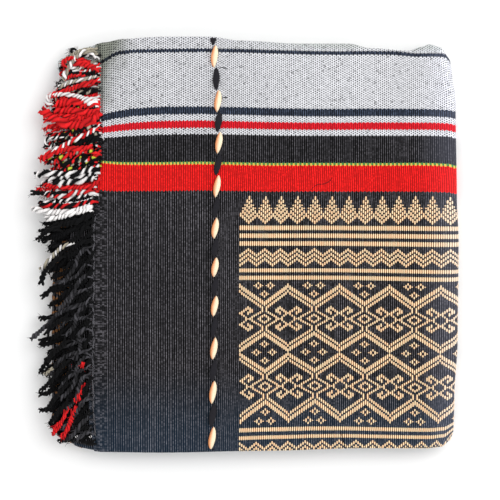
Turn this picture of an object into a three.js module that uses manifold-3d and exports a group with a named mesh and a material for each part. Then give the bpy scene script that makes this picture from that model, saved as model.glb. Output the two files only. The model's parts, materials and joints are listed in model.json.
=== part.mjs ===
// A handwoven blanket with fringed ends, folded flat for a shelf.
// The cloth is letter-folded across its width into a ply of three levels. The ply is then
// folded in half twice along the length, so four plies lie on each other. Both fringed ends
// come out on the left, one above the other, and the loops of the plies lie on the right.
// Millimetres, +X to the right, +Y to the far edge, +Z up, standing on Z = 0.
import * as THREE from "three";
import { mergeVertices } from "three/addons/utils/BufferGeometryUtils.js";
import Module from "manifold-3d";

const wasm = await Module();
wasm.setup();

// Thickness of the cloth and the air between its layers
const CLOTH = 1.5;
const AIR = 0.5;
const LEVEL = CLOTH + AIR;
const PLY_HALF = LEVEL + CLOTH / 2;
const PLY_PITCH = 2 * PLY_HALF + AIR;
const PLIES = 4;

// Plan of the folded stack, seen from above
const FAR_EDGE = 213;
const NEAR_EDGE = -202;
const RIGHT_EDGE = 207;
const UPPER_END = -155;
const LOWER_END = -176;
const LEFT_FOLD = -197;

// The woven edges that end inside the letter fold
const INNER_SELVEDGE_SETBACK = 6;
const LOWER_SELVEDGE_SETBACK = 4;

// Where the cloth's flat faces meet: rows by y, columns by x, and steps round a turn
const ROWS = [-190, -150, -80, 0, 80, 150, 192];
const COLUMNS = [-170, -130, -80, -20, 50, 110, 150, 180];
const SMALL_TURN_STEPS = 4;
const LARGE_TURN_STEPS = 6;

// Narrow heading that carries the fringe, parted from the cloth
const PARTING = 0.4;
const HEADING = 4;
const ROOT_DEPTH = 2;

// Fringe strand: width and height at the root, and the share that is left at the tip
const STRAND_WIDTH = 3.8;
const STRAND_HEIGHT = 3.4;
const STRAND_ROOT_HEIGHT = 0.9;
const STRAND_TIP = 0.6;
const STRAND_BEND = 0.8;
const STRAND_BEND_TURN = 0.7;
const STRAND_UNEVEN = 0.08;
const STRAND_UNEVEN_TURN = 2.4;
const UPPER_FACETS = 4;
const UPPER_STEPS = 4;
const LOWER_FACETS = 3;
const LOWER_STEPS = 3;

// Pair of thick yarns twined across the cloth
const YARN_SWAY = 2;
const YARN_FACETS = 4;
const YARN_STEPS = 8;
const YARN_CREST = { width: 5.2, height: 1.5, rise: 2.3 };
const YARN_CROSSING = { width: 2.6, height: 1.4, rise: 1.3 };
const YARN_SINK = { width: 2.4, height: 0.6, rise: 0.75 };

// How far the far edge lies out of line, by x
const FAR_LINE = [
  { at: -200, shift: -22 },
  { at: -190, shift: -19 },
  { at: -180, shift: -12 },
  { at: -165, shift: -8 },
  { at: -150, shift: -4.5 },
  { at: -130, shift: -1 },
  { at: -90, shift: 1 },
  { at: -40, shift: 1 },
  { at: -10, shift: -3 },
  { at: 50, shift: -6 },
  { at: 100, shift: -7 },
  { at: 120, shift: -11 },
  { at: 160, shift: -12 },
  { at: 181, shift: -8 },
  { at: 192, shift: -12 },
  { at: 207, shift: -21 },
];
const FAR_FADE = 70;

// How far the near edge lies out of line, by x
const NEAR_LINE = [
  { at: -197, shift: 14 },
  { at: -185, shift: 8 },
  { at: -170, shift: 3 },
  { at: -150, shift: 1 },
  { at: -90, shift: -1 },
  { at: 20, shift: 1 },
  { at: 110, shift: 3.5 },
  { at: 180, shift: 4 },
  { at: 195, shift: 7 },
  { at: 207, shift: 15 },
];
const NEAR_FADE = 45;

// How far the fringed ends and the left fold lie out of line, by y
const LEFT_LINE = [
  { at: -202, shift: 2 },
  { at: -170, shift: -3 },
  { at: -70, shift: -3 },
  { at: 5, shift: -1.5 },
  { at: 47, shift: 1 },
  { at: 70, shift: 2 },
  { at: 90, shift: 6 },
  { at: 190, shift: 6 },
  { at: 207, shift: 3 },
];
const LEFT_FADE = 80;

// How far the right fold lies out of line, by y
const RIGHT_LINE = [
  { at: -202, shift: -9 },
  { at: -190, shift: -6 },
  { at: -150, shift: -4 },
  { at: -90, shift: 0 },
  { at: 10, shift: 1 },
  { at: 50, shift: -1 },
  { at: 150, shift: -2 },
  { at: 190, shift: -4 },
  { at: 213, shift: -6 },
];
const RIGHT_FADE = 60;

// Soft hollows and swells of the stack, as shares of its height
const SWELLS = [
  { x: -158, y: 213, reachX: 70, reachY: 45, share: -0.14 },
  { x: 0, y: 216, reachX: 400, reachY: 15, share: -0.1 },
  { x: 0, y: -205, reachX: 400, reachY: 12, share: -0.06 },
  { x: 207, y: 213, reachX: 50, reachY: 40, share: -0.1 },
  { x: 207, y: -202, reachX: 40, reachY: 40, share: -0.1 },
  { x: -160, y: -202, reachX: 45, reachY: 40, share: -0.1 },
  { x: -155, y: 20, reachX: 30, reachY: 160, share: -0.05 },
  { x: 40, y: -60, reachX: 130, reachY: 55, share: 0.035 },
  { x: -70, y: -110, reachX: 90, reachY: 70, share: 0.03 },
  { x: -60, y: 90, reachX: 100, reachY: 60, share: 0.02 },
  { x: 120, y: 90, reachX: 90, reachY: 60, share: -0.03 },
  { x: 130, y: -120, reachX: 80, reachY: 60, share: -0.025 },
];

// Direction and length of the fringe strands, by the y of their roots, and their spacing
const UPPER_STRANDS = [
  { at: 205, slant: 4, length: 26, pitch: 5 },
  { at: 190, slant: 6, length: 36, pitch: 5 },
  { at: 150, slant: 11, length: 52, pitch: 5 },
  { at: 110, slant: 12, length: 53, pitch: 5 },
  { at: 70, slant: 11, length: 56, pitch: 5 },
  { at: 35, slant: 20, length: 54, pitch: 6 },
  { at: 0, slant: 44, length: 54, pitch: 8.5 },
  { at: -30, slant: 51, length: 58, pitch: 8.5 },
  { at: -80, slant: 52, length: 60, pitch: 9.5 },
  { at: -110, slant: 47, length: 56, pitch: 11 },
  { at: -135, slant: 40, length: 48, pitch: 11 },
  { at: -155, slant: 31, length: 42, pitch: 11 },
  { at: -185, slant: 9, length: 36, pitch: 9 },
  { at: -198, slant: 1, length: 22, pitch: 9 },
];
const LOWER_STRANDS = [
  { at: 202, slant: 3, length: 8, pitch: 6 },
  { at: 180, slant: 6, length: 22, pitch: 6 },
  { at: 130, slant: 10, length: 35, pitch: 6 },
  { at: 50, slant: 12, length: 38, pitch: 6 },
  { at: 10, slant: 34, length: 38, pitch: 8.5 },
  { at: -60, slant: 36, length: 38, pitch: 10 },
  { at: -78, slant: 26, length: 42, pitch: 10 },
  { at: -88, slant: 20, length: 48, pitch: 9 },
  { at: -110, slant: 36, length: 42, pitch: 8.5 },
  { at: -150, slant: 36, length: 38, pitch: 8.5 },
  { at: -175, slant: 20, length: 26, pitch: 8.5 },
  { at: -195, slant: 6, length: 12, pitch: 8.5 },
];

// Height of the strands, by how far they are out from their end of the cloth
const UPPER_DROOP = [
  { at: 0, height: 20.5 },
  { at: 20, height: 20.1 },
  { at: 36, height: 18.4 },
  { at: 58, height: 15.8 },
];
const LOWER_DROOP = [
  { at: 0, height: 14.7 },
  { at: 13, height: 14 },
  { at: 20, height: 13.9 },
  { at: 40, height: 10.6 },
];

// Line of the twined yarns, by y, and where the cream yarn crests
const YARN_LINE = [
  { at: -202, x: -38 },
  { at: -142, x: -37 },
  { at: -98, x: -36 },
  { at: -37, x: -35 },
  { at: 22, x: -34.8 },
  { at: 64, x: -33 },
  { at: 108, x: -31 },
  { at: 149, x: -32 },
  { at: 194, x: -35.5 },
  { at: 213, x: -36 },
];
const CREAM_CRESTS = [236, 193.5, 148.5, 107.8, 63.5, 21.5, -17.3, -55.5, -98.5, -141.8, -188.5, -231];
const YARN_FAR = 207;
const YARN_NEAR = -198;

// Reads a named column of a table at a place between its rows.
function lookUp(table, place, column) {
  const rising = table[0].at < table[table.length - 1].at;
  const rows = rising ? table : [...table].reverse();
  if (place <= rows[0].at) return rows[0][column];
  for (let i = 1; i < rows.length; i += 1) {
    const [low, high] = [rows[i - 1], rows[i]];
    if (place <= high.at) {
      const share = (place - low.at) / (high.at - low.at);
      const eased = share * share * (3 - 2 * share);
      return low[column] + (high[column] - low[column]) * eased;
    }
  }
  return rows[rows.length - 1][column];
}

// One at an edge and beyond it, falling smoothly to nothing at the given reach.
function fade(distance, reach) {
  const share = THREE.MathUtils.clamp(distance / reach, 0, 1);
  return 1 - share * share * (3 - 2 * share);
}

// Share of the nominal height that the swells leave at a place.
function swellShare(x, y) {
  let share = 1;
  for (const swell of SWELLS) {
    const across = (x - swell.x) / swell.reachX;
    const along = (y - swell.y) / swell.reachY;
    share += swell.share * Math.exp(-(across * across) - along * along);
  }
  return share;
}

// The two neighbouring lines of a grid round a place, and the share of the way between.
function cell(lines, place) {
  const inside = THREE.MathUtils.clamp(place, lines[0], lines[lines.length - 1]);
  const after = Math.max(1, lines.findIndex((line) => line >= inside));
  const [low, high] = [lines[after - 1], lines[after]];
  return { low, high, share: (inside - low) / (high - low) };
}

// Height share with flat faces between the rows and columns, as the cloth itself has them,
// so that strands and yarns keep their distance to it.
function heightShare(x, y) {
  const across = cell([LEFT_FOLD, ...COLUMNS, RIGHT_EDGE], x);
  const along = cell([NEAR_EDGE, ...ROWS, FAR_EDGE], y);
  const near = THREE.MathUtils.lerp(
    swellShare(across.low, along.low),
    swellShare(across.high, along.low),
    across.share,
  );
  const far = THREE.MathUtils.lerp(
    swellShare(across.low, along.high),
    swellShare(across.high, along.high),
    across.share,
  );
  return THREE.MathUtils.lerp(near, far, along.share);
}

// Moves a point of the evenly folded stack to where the uneven stack has it.
function settle(x, y, z) {
  const left = lookUp(LEFT_LINE, y, "shift") * fade(x - UPPER_END, LEFT_FADE);
  const right = lookUp(RIGHT_LINE, y, "shift") * fade(RIGHT_EDGE - x, RIGHT_FADE);
  const far = lookUp(FAR_LINE, x, "shift") * fade(FAR_EDGE - y, FAR_FADE);
  const near = lookUp(NEAR_LINE, x, "shift") * fade(y - NEAR_EDGE, NEAR_FADE);
  return new THREE.Vector3(x + left + right, y + far + near, z * heightShare(x, y));
}

// Points of a half turn in equal steps, ends left out. Their "out" is the face side, which
// lies away from the centre, or towards it where facing is -1.
function halfTurn(centreX, centreY, radius, from, to, steps, facing = 1) {
  const points = [];
  for (let i = 1; i < steps; i += 1) {
    const angle = from + ((to - from) * i) / steps;
    const away = new THREE.Vector2(Math.cos(angle), Math.sin(angle));
    const out = away.clone().multiplyScalar(facing);
    points.push({ x: centreX + radius * away.x, y: centreY + radius * away.y, out });
  }
  return points;
}

// Points of a straight stretch, at its ends and at the places between them, with the face
// side up (1) or down (-1).
function straight(fromX, toX, y, facing, places) {
  const [low, high] = [Math.min(fromX, toX), Math.max(fromX, toX)];
  const rising = [low, ...places.filter((place) => place > low && place < high), high];
  const ordered = fromX < toX ? rising : rising.reverse();
  return ordered.map((x) => ({ x, y, out: new THREE.Vector2(0, facing) }));
}

const QUARTER = Math.PI / 2;

// Height of the middle of a ply, the lowest being number 0.
function plyHeight(ply) {
  return PLY_HALF + ply * PLY_PITCH;
}

const UPPER_HEIGHT = plyHeight(PLIES - 1);
const LOWER_HEIGHT = plyHeight(PLIES - 2);

// Closed outline of one ply in the Y-Z plane: the three joined levels of the letter fold.
function plyOutline() {
  const nearTurn = NEAR_EDGE + LEVEL / 2 + CLOTH / 2;
  const farTurn = FAR_EDGE - PLY_HALF;
  const middle = [
    ...straight(farTurn - INNER_SELVEDGE_SETBACK, nearTurn, 0, -1, ROWS),
    ...halfTurn(nearTurn, LEVEL / 2, LEVEL / 2, -QUARTER, -3 * QUARTER, SMALL_TURN_STEPS),
    ...straight(nearTurn, farTurn, LEVEL, 1, ROWS),
    ...halfTurn(farTurn, 0, LEVEL, QUARTER, -QUARTER, LARGE_TURN_STEPS),
    ...straight(farTurn, NEAR_EDGE + LOWER_SELVEDGE_SETBACK, -LEVEL, -1, ROWS),
  ];
  const side = (offset) =>
    middle.map((p) => new THREE.Vector2(p.x + offset * p.out.x, p.y + offset * p.out.y));
  return [...side(CLOTH / 2), ...side(-CLOTH / 2).reverse()];
}

// Path of the ply's middle in the X-Z plane, from the upper end to the lower end.
function plyPath() {
  const [bottom, second, third, top] = Array.from({ length: PLIES }, (_, ply) => plyHeight(ply));
  const outerRadius = (top - bottom) / 2;
  const smallRadius = PLY_PITCH / 2;
  const rightTurn = RIGHT_EDGE - outerRadius - PLY_HALF;
  const leftTurn = LEFT_FOLD + smallRadius + PLY_HALF;
  const rightHeight = (bottom + top) / 2;
  const leftHeight = (bottom + second) / 2;
  return [
    ...straight(UPPER_END, rightTurn, top, 1, COLUMNS),
    ...halfTurn(rightTurn, rightHeight, outerRadius, QUARTER, -QUARTER, LARGE_TURN_STEPS),
    ...straight(rightTurn, leftTurn, bottom, -1, COLUMNS),
    ...halfTurn(leftTurn, leftHeight, smallRadius, -QUARTER, -3 * QUARTER, SMALL_TURN_STEPS),
    ...straight(leftTurn, rightTurn, second, 1, COLUMNS),
    ...halfTurn(rightTurn, rightHeight, smallRadius, -QUARTER, QUARTER, SMALL_TURN_STEPS, -1),
    ...straight(rightTurn, LOWER_END, third, -1, COLUMNS),
  ];
}

// Closed body through a row of rings with the same number of points each.
function loft(rings, endFaces) {
  const count = rings[0].length;
  const last = (rings.length - 1) * count;
  const faces = [];
  for (let ring = 0; ring < last; ring += count) {
    for (let j = 0; j < count; j += 1) {
      const next = (j + 1) % count;
      faces.push(ring + j, ring + count + j, ring + count + next);
      faces.push(ring + j, ring + count + next, ring + next);
    }
  }
  for (const [a, b, c] of endFaces) {
    faces.push(a, b, c, last + a, last + c, last + b);
  }
  const geometry = new THREE.BufferGeometry().setFromPoints(rings.flat());
  geometry.setIndex(faces);
  return geometry;
}

// Triangles that close the end of a ply, straight across the cloth from side to side.
function fillBand(count) {
  const faces = [];
  for (let i = 0; i + 1 < count / 2; i += 1) {
    const opposite = count - 1 - i;
    faces.push([i, i + 1, opposite - 1], [i, opposite - 1, opposite]);
  }
  return faces;
}

// Stretch of ply: its outline carried along a path and settled.
function plyGeometry(path) {
  const outline = plyOutline();
  const rings = path.map(({ x, y: height, out }) =>
    outline.map((p) => settle(x + out.x * p.y, p.x, height + out.y * p.y)),
  );
  return loft(rings, fillBand(outline.length));
}

// Triangles of a convex ring, all from its first point.
function fan(count) {
  const faces = [];
  for (let j = 2; j < count; j += 1) {
    faces.push([0, j - 1, j]);
  }
  return faces;
}

// Fringe strand, from inside the heading to its free tip.
function strandGeometry(rootX, rootY, rootHeight, row, droop, index, facets, steps) {
  const slant = THREE.MathUtils.degToRad(row.slant);
  const length = row.length * (1 + STRAND_UNEVEN * Math.sin(STRAND_UNEVEN_TURN * index));
  const bend = STRAND_BEND * Math.sin(STRAND_BEND_TURN * index);
  const run = new THREE.Vector2(-Math.cos(slant), -Math.sin(slant));
  const side = new THREE.Vector2(-run.y, run.x);
  const rings = [];
  for (let i = 0; i <= steps; i += 1) {
    const share = i / steps;
    const sideways = bend * Math.sin(Math.PI * share);
    const x = rootX + run.x * length * share + side.x * sideways;
    const y = rootY + run.y * length * share + side.y * sideways;
    const middle = i === 0 ? rootHeight : lookUp(droop, rootX - x, "height");
    const width = STRAND_WIDTH * (1 - (1 - STRAND_TIP) * share);
    const height = i === 0 ? STRAND_ROOT_HEIGHT : STRAND_HEIGHT * (1 - (1 - STRAND_TIP) * share);
    const ring = [];
    for (let j = 0; j < facets; j += 1) {
      const angle = QUARTER - (2 * Math.PI * j) / facets;
      const across = (width / 2) * Math.cos(angle);
      const up = (height / 2) * Math.sin(angle);
      ring.push(settle(x + side.x * across, y + side.y * across, middle + up));
    }
    rings.push(ring);
  }
  return loft(rings, fan(facets));
}

// All strands of one end, at the spacing that the table gives for their place. They come
// by turns from the middle and the upper level of the letter fold.
function strands(endX, plyHeight, table, droop, facets, steps) {
  const rootX = endX - PARTING - HEADING + ROOT_DEPTH;
  const made = [];
  let rootY = table[0].at;
  while (rootY >= table[table.length - 1].at) {
    const row = {};
    for (const column of ["slant", "length", "pitch"]) {
      row[column] = lookUp(table, rootY, column);
    }
    const rootHeight = plyHeight + (made.length % 2) * LEVEL;
    made.push(strandGeometry(rootX, rootY, rootHeight, row, droop, made.length, facets, steps));
    rootY -= row.pitch;
  }
  return made;
}

// Narrow heading along a fringed end: the same letter fold, a little way out.
function headingGeometry(endX, height, facing) {
  const inner = endX - PARTING;
  const stations = straight(inner, inner - HEADING, height, facing, []);
  return plyGeometry(facing > 0 ? stations.reverse() : stations);
}

// How far the twining has turned at a place: a whole turn from one cream crest to the next.
function twiningTurn(y) {
  let crest = 1;
  while (CREAM_CRESTS[crest] > y) {
    crest += 1;
  }
  const share = (CREAM_CRESTS[crest - 1] - y) / (CREAM_CRESTS[crest - 1] - CREAM_CRESTS[crest]);
  return 2 * Math.PI * (crest - 1 + share);
}

// One of the two twined yarns: wide where it crests, thin where it passes under its mate.
function yarnGeometry(lag) {
  const clothTop = UPPER_HEIGHT + PLY_HALF;
  const stations = YARN_STEPS * (CREAM_CRESTS.length - 2);
  const rings = [];
  for (let i = 0; i <= stations; i += 1) {
    const y = YARN_FAR + ((YARN_NEAR - YARN_FAR) * i) / stations;
    const turn = twiningTurn(y) + lag;
    const lift = Math.cos(turn);
    const far = lift > 0 ? YARN_CREST : YARN_SINK;
    const size = {};
    for (const column of ["width", "height", "rise"]) {
      size[column] = THREE.MathUtils.lerp(YARN_CROSSING[column], far[column], Math.abs(lift));
    }
    const x = lookUp(YARN_LINE, y, "x") - YARN_SWAY * Math.sin(turn);
    const ring = [];
    for (let j = 0; j < YARN_FACETS; j += 1) {
      const angle = (-2 * Math.PI * j) / YARN_FACETS;
      const across = (size.width / 2) * Math.cos(angle);
      const up = (size.height / 2) * Math.sin(angle);
      ring.push(settle(x + across, y, clothTop + size.rise + up));
    }
    rings.push(ring);
  }
  return loft(rings, fan(YARN_FACETS));
}

// Solid of a closed geometry, ready to be joined to others.
function toSolid(geometry) {
  const merged = mergeVertices(geometry);
  const vertProperties = merged.attributes.position.array;
  const triVerts = new Uint32Array(merged.index.array);
  return new wasm.Manifold(new wasm.Mesh({ numProp: 3, vertProperties, triVerts }));
}

// Strands and their heading as one closed geometry.
function joined(geometries) {
  const mesh = wasm.Manifold.union(geometries.map(toSolid)).getMesh();
  const geometry = new THREE.BufferGeometry();
  geometry.setAttribute("position", new THREE.BufferAttribute(mesh.vertProperties, 3));
  geometry.setIndex(new THREE.BufferAttribute(mesh.triVerts, 1));
  return geometry;
}

const WOOL = { metalness: 0, roughness: 0.9 };
const darkCloth = new THREE.MeshStandardMaterial({ ...WOOL, color: 0x37373b });
const redYarn = new THREE.MeshStandardMaterial({ ...WOOL, color: 0xd62020 });
const blackYarn = new THREE.MeshStandardMaterial({ ...WOOL, color: 0x2a2a2e });
const creamYarn = new THREE.MeshStandardMaterial({ ...WOOL, color: 0xf0d2ac });

const blanket = new THREE.Group();

function add(name, geometry, material) {
  const mesh = new THREE.Mesh(geometry, material);
  mesh.name = name;
  blanket.add(mesh);
}

add("folded_cloth", plyGeometry(plyPath()), darkCloth);
add(
  "fringe_upper_end",
  joined([
    headingGeometry(UPPER_END, UPPER_HEIGHT, 1),
    ...strands(UPPER_END, UPPER_HEIGHT, UPPER_STRANDS, UPPER_DROOP, UPPER_FACETS, UPPER_STEPS),
  ]),
  redYarn,
);
add(
  "fringe_lower_end",
  joined([
    headingGeometry(LOWER_END, LOWER_HEIGHT, -1),
    ...strands(LOWER_END, LOWER_HEIGHT, LOWER_STRANDS, LOWER_DROOP, LOWER_FACETS, LOWER_STEPS),
  ]),
  blackYarn,
);
add("twined_yarn_cream", yarnGeometry(0), creamYarn);
add("twined_yarn_black", yarnGeometry(Math.PI), blackYarn);

// The origin is under the middle of the whole blanket.
const box = new THREE.Box3().setFromObject(blanket);
const middle = box.getCenter(new THREE.Vector3());
blanket.position.set(-middle.x, -middle.y, -box.min.z);

export default blanket;
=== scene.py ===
import json
import math

import bpy
import numpy as np
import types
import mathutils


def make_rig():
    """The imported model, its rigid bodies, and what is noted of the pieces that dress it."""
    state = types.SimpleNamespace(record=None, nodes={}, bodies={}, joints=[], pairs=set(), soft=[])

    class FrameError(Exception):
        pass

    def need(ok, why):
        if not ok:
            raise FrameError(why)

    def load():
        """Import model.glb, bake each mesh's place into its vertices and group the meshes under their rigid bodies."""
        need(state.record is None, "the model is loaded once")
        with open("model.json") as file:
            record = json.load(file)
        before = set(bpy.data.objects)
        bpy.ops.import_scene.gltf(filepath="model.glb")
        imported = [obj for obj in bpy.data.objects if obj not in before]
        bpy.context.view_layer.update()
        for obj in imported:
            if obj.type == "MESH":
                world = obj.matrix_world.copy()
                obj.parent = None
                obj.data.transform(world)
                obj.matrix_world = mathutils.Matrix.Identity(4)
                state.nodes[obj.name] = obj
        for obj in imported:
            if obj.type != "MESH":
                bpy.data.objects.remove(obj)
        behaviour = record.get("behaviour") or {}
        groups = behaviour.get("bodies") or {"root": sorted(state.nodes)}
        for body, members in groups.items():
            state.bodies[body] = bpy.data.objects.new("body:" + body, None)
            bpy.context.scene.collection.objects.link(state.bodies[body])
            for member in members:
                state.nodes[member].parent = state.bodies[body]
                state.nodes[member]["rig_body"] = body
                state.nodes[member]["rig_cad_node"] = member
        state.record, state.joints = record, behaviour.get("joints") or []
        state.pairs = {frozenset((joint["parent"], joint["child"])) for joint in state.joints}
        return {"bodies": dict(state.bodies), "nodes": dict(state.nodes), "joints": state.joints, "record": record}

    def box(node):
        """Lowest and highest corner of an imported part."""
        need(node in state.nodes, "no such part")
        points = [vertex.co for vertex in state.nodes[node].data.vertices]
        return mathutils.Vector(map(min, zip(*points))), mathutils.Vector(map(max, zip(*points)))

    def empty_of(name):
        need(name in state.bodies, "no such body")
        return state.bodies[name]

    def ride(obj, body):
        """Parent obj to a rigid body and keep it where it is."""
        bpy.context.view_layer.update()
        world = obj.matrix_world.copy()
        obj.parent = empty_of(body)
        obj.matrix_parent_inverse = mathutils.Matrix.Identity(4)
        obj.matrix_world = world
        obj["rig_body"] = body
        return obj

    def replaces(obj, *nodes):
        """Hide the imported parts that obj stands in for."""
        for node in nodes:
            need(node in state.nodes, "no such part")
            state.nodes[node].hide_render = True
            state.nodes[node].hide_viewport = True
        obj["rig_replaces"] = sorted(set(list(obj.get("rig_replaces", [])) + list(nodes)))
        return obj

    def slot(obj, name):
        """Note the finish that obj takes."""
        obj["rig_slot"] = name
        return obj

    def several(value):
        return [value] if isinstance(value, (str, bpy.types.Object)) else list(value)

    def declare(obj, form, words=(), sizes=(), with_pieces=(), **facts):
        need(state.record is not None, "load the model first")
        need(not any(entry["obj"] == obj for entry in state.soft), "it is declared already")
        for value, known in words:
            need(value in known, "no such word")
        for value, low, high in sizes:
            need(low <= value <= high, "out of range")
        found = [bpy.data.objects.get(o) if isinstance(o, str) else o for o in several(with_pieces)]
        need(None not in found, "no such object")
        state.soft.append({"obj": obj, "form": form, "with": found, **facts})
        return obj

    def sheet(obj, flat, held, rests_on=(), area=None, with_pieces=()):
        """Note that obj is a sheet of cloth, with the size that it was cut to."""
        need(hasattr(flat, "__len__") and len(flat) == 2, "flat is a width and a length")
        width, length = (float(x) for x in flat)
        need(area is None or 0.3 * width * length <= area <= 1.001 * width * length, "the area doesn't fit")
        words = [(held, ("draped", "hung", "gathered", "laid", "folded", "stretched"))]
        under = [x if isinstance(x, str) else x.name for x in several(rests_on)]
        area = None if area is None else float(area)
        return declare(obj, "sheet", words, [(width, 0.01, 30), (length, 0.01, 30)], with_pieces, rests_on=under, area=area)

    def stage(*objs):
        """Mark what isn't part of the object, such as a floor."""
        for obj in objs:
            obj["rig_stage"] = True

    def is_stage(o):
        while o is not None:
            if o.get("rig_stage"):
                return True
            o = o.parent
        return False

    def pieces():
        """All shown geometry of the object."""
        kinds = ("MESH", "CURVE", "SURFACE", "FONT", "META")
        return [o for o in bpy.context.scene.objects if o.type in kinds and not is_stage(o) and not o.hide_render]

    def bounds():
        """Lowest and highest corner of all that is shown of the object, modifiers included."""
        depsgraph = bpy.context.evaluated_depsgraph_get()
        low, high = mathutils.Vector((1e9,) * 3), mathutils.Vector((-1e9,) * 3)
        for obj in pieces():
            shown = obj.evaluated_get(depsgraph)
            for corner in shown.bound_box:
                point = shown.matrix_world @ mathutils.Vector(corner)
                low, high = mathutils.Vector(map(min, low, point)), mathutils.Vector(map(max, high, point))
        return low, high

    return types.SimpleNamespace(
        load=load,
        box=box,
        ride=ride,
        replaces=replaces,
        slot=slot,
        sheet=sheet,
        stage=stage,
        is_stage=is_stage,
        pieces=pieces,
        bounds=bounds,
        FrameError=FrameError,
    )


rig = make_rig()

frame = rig.load()
CAD_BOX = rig.bounds()

bl_info = {
    "name": "Folded handwoven blanket",
    "version": (1, 0, 0),
    "blender": (4, 5, 0),
    "location": "View3D > Sidebar > Blanket",
    "description": "Weaves, folds and fringes a striped blanket with a brocade panel",
    "category": "Object",
}

# Lengths are in millimetres on the folded stack, +X to the right and +Y to the far edge.
MM = 0.001

# Thickness of the cloth and the air between its layers
CLOTH = 1.5
AIR = 0.5
LEVEL = CLOTH + AIR
PLY_HALF = LEVEL + CLOTH / 2
PLY_PITCH = 2 * PLY_HALF + AIR
PLIES = 4

# Plan of the folded stack, seen from above
FAR_EDGE = 213
NEAR_EDGE = -202
RIGHT_EDGE = 207
UPPER_END = -155
LOWER_END = -176
LEFT_FOLD = -197
INNER_SETBACK = 6
LOWER_SETBACK = 4
FAR_FADE = 70
NEAR_FADE = 45
LEFT_FADE = 80
RIGHT_FADE = 60

# Opened cloth, in metres
FLAT_WIDTH = 1.23
FLAT_LENGTH = 1.55

# Middle of the folded cloth in the stack's own plan, and in the frame of the part
STACK_MIDDLE = (3.952, 5.523)

# How far each edge lies out of line: place along the edge, shift
FAR_LINE = (
    (-200, -22), (-190, -19), (-180, -12), (-165, -8), (-150, -4.5), (-130, -1), (-90, 1),
    (-40, 1), (-10, -3), (50, -6), (100, -6), (120, -10.5), (160, -13), (173, -9.5),
    (184, -6.4), (195, -9.3), (207, -20),
)
NEAR_LINE = (
    (-197, 14), (-185, 8), (-170, 2), (-150, -0.6), (-90, -1), (20, 1), (110, 3.5), (180, 3.4),
    (195, 4.6), (207, 11),
)
LEFT_LINE = (
    (-202, 2), (-170, -3), (-70, -3), (5, -1.5), (47, 1), (70, 2), (90, 6), (190, 6), (207, 3),
)
RIGHT_LINE = (
    (-202, -4.5), (-190, -2), (-150, -1.4), (-90, 2), (10, 3), (50, 1.3), (150, 0), (190, -3),
    (213, -5.4),
)

# Soft hollows and swells: x, y, reach along x, reach along y, share of the height
SWELLS = (
    (-158, 213, 70, 45, -0.14), (0, 216, 400, 15, -0.1), (0, -205, 400, 12, -0.06),
    (207, 213, 50, 40, -0.1), (207, -202, 40, 40, -0.1), (-160, -202, 45, 40, -0.1),
    (-155, 20, 30, 160, -0.05), (40, -60, 130, 55, 0.035), (-70, -110, 90, 70, 0.03),
    (-60, 90, 100, 60, 0.02), (120, 90, 90, 60, -0.03), (130, -120, 80, 60, -0.025),
)

# Soft creases of the top: x, y, direction in degrees, length, width, rise
CREASES = (
    (-95, -70, 38, 90, 9, 0.95), (-70, -98, 38, 80, 8, -0.9), (-60, -40, 40, 70, 11, 0.7),
    (-120, -115, 30, 60, 9, 0.8), (-95, -140, 28, 70, 8, -0.7), (-128, -60, 85, 90, 6, 0.6),
    (-110, 30, 60, 55, 8, -0.3), (-135, 150, 60, 55, 7, -0.6), (-120, 175, 25, 50, 8, 0.4),
    (170, 190, 150, 45, 8, 0.7), (150, 150, 140, 50, 9, -0.35), (60, 60, 20, 90, 12, 0.3),
    (100, -160, 15, 80, 10, 0.3), (-20, 120, 75, 60, 10, -0.25), (20, -20, 70, 80, 12, 0.25),
)

# Ribs by their place along the cloth: place, number of the rib, 0 being a motif's middle
RIBS = (
    (-175, -115.2), (-155, -104), (-40, -39.7), (-9.9, -24), (14.7, -12), (38.1, 0), (64.3, 12),
    (89.6, 24), (114.8, 36), (139.7, 48), (164.4, 60), (189.4, 72), (214, 84.4),
    (1470, 672), (1490, 681.8),
)

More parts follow.
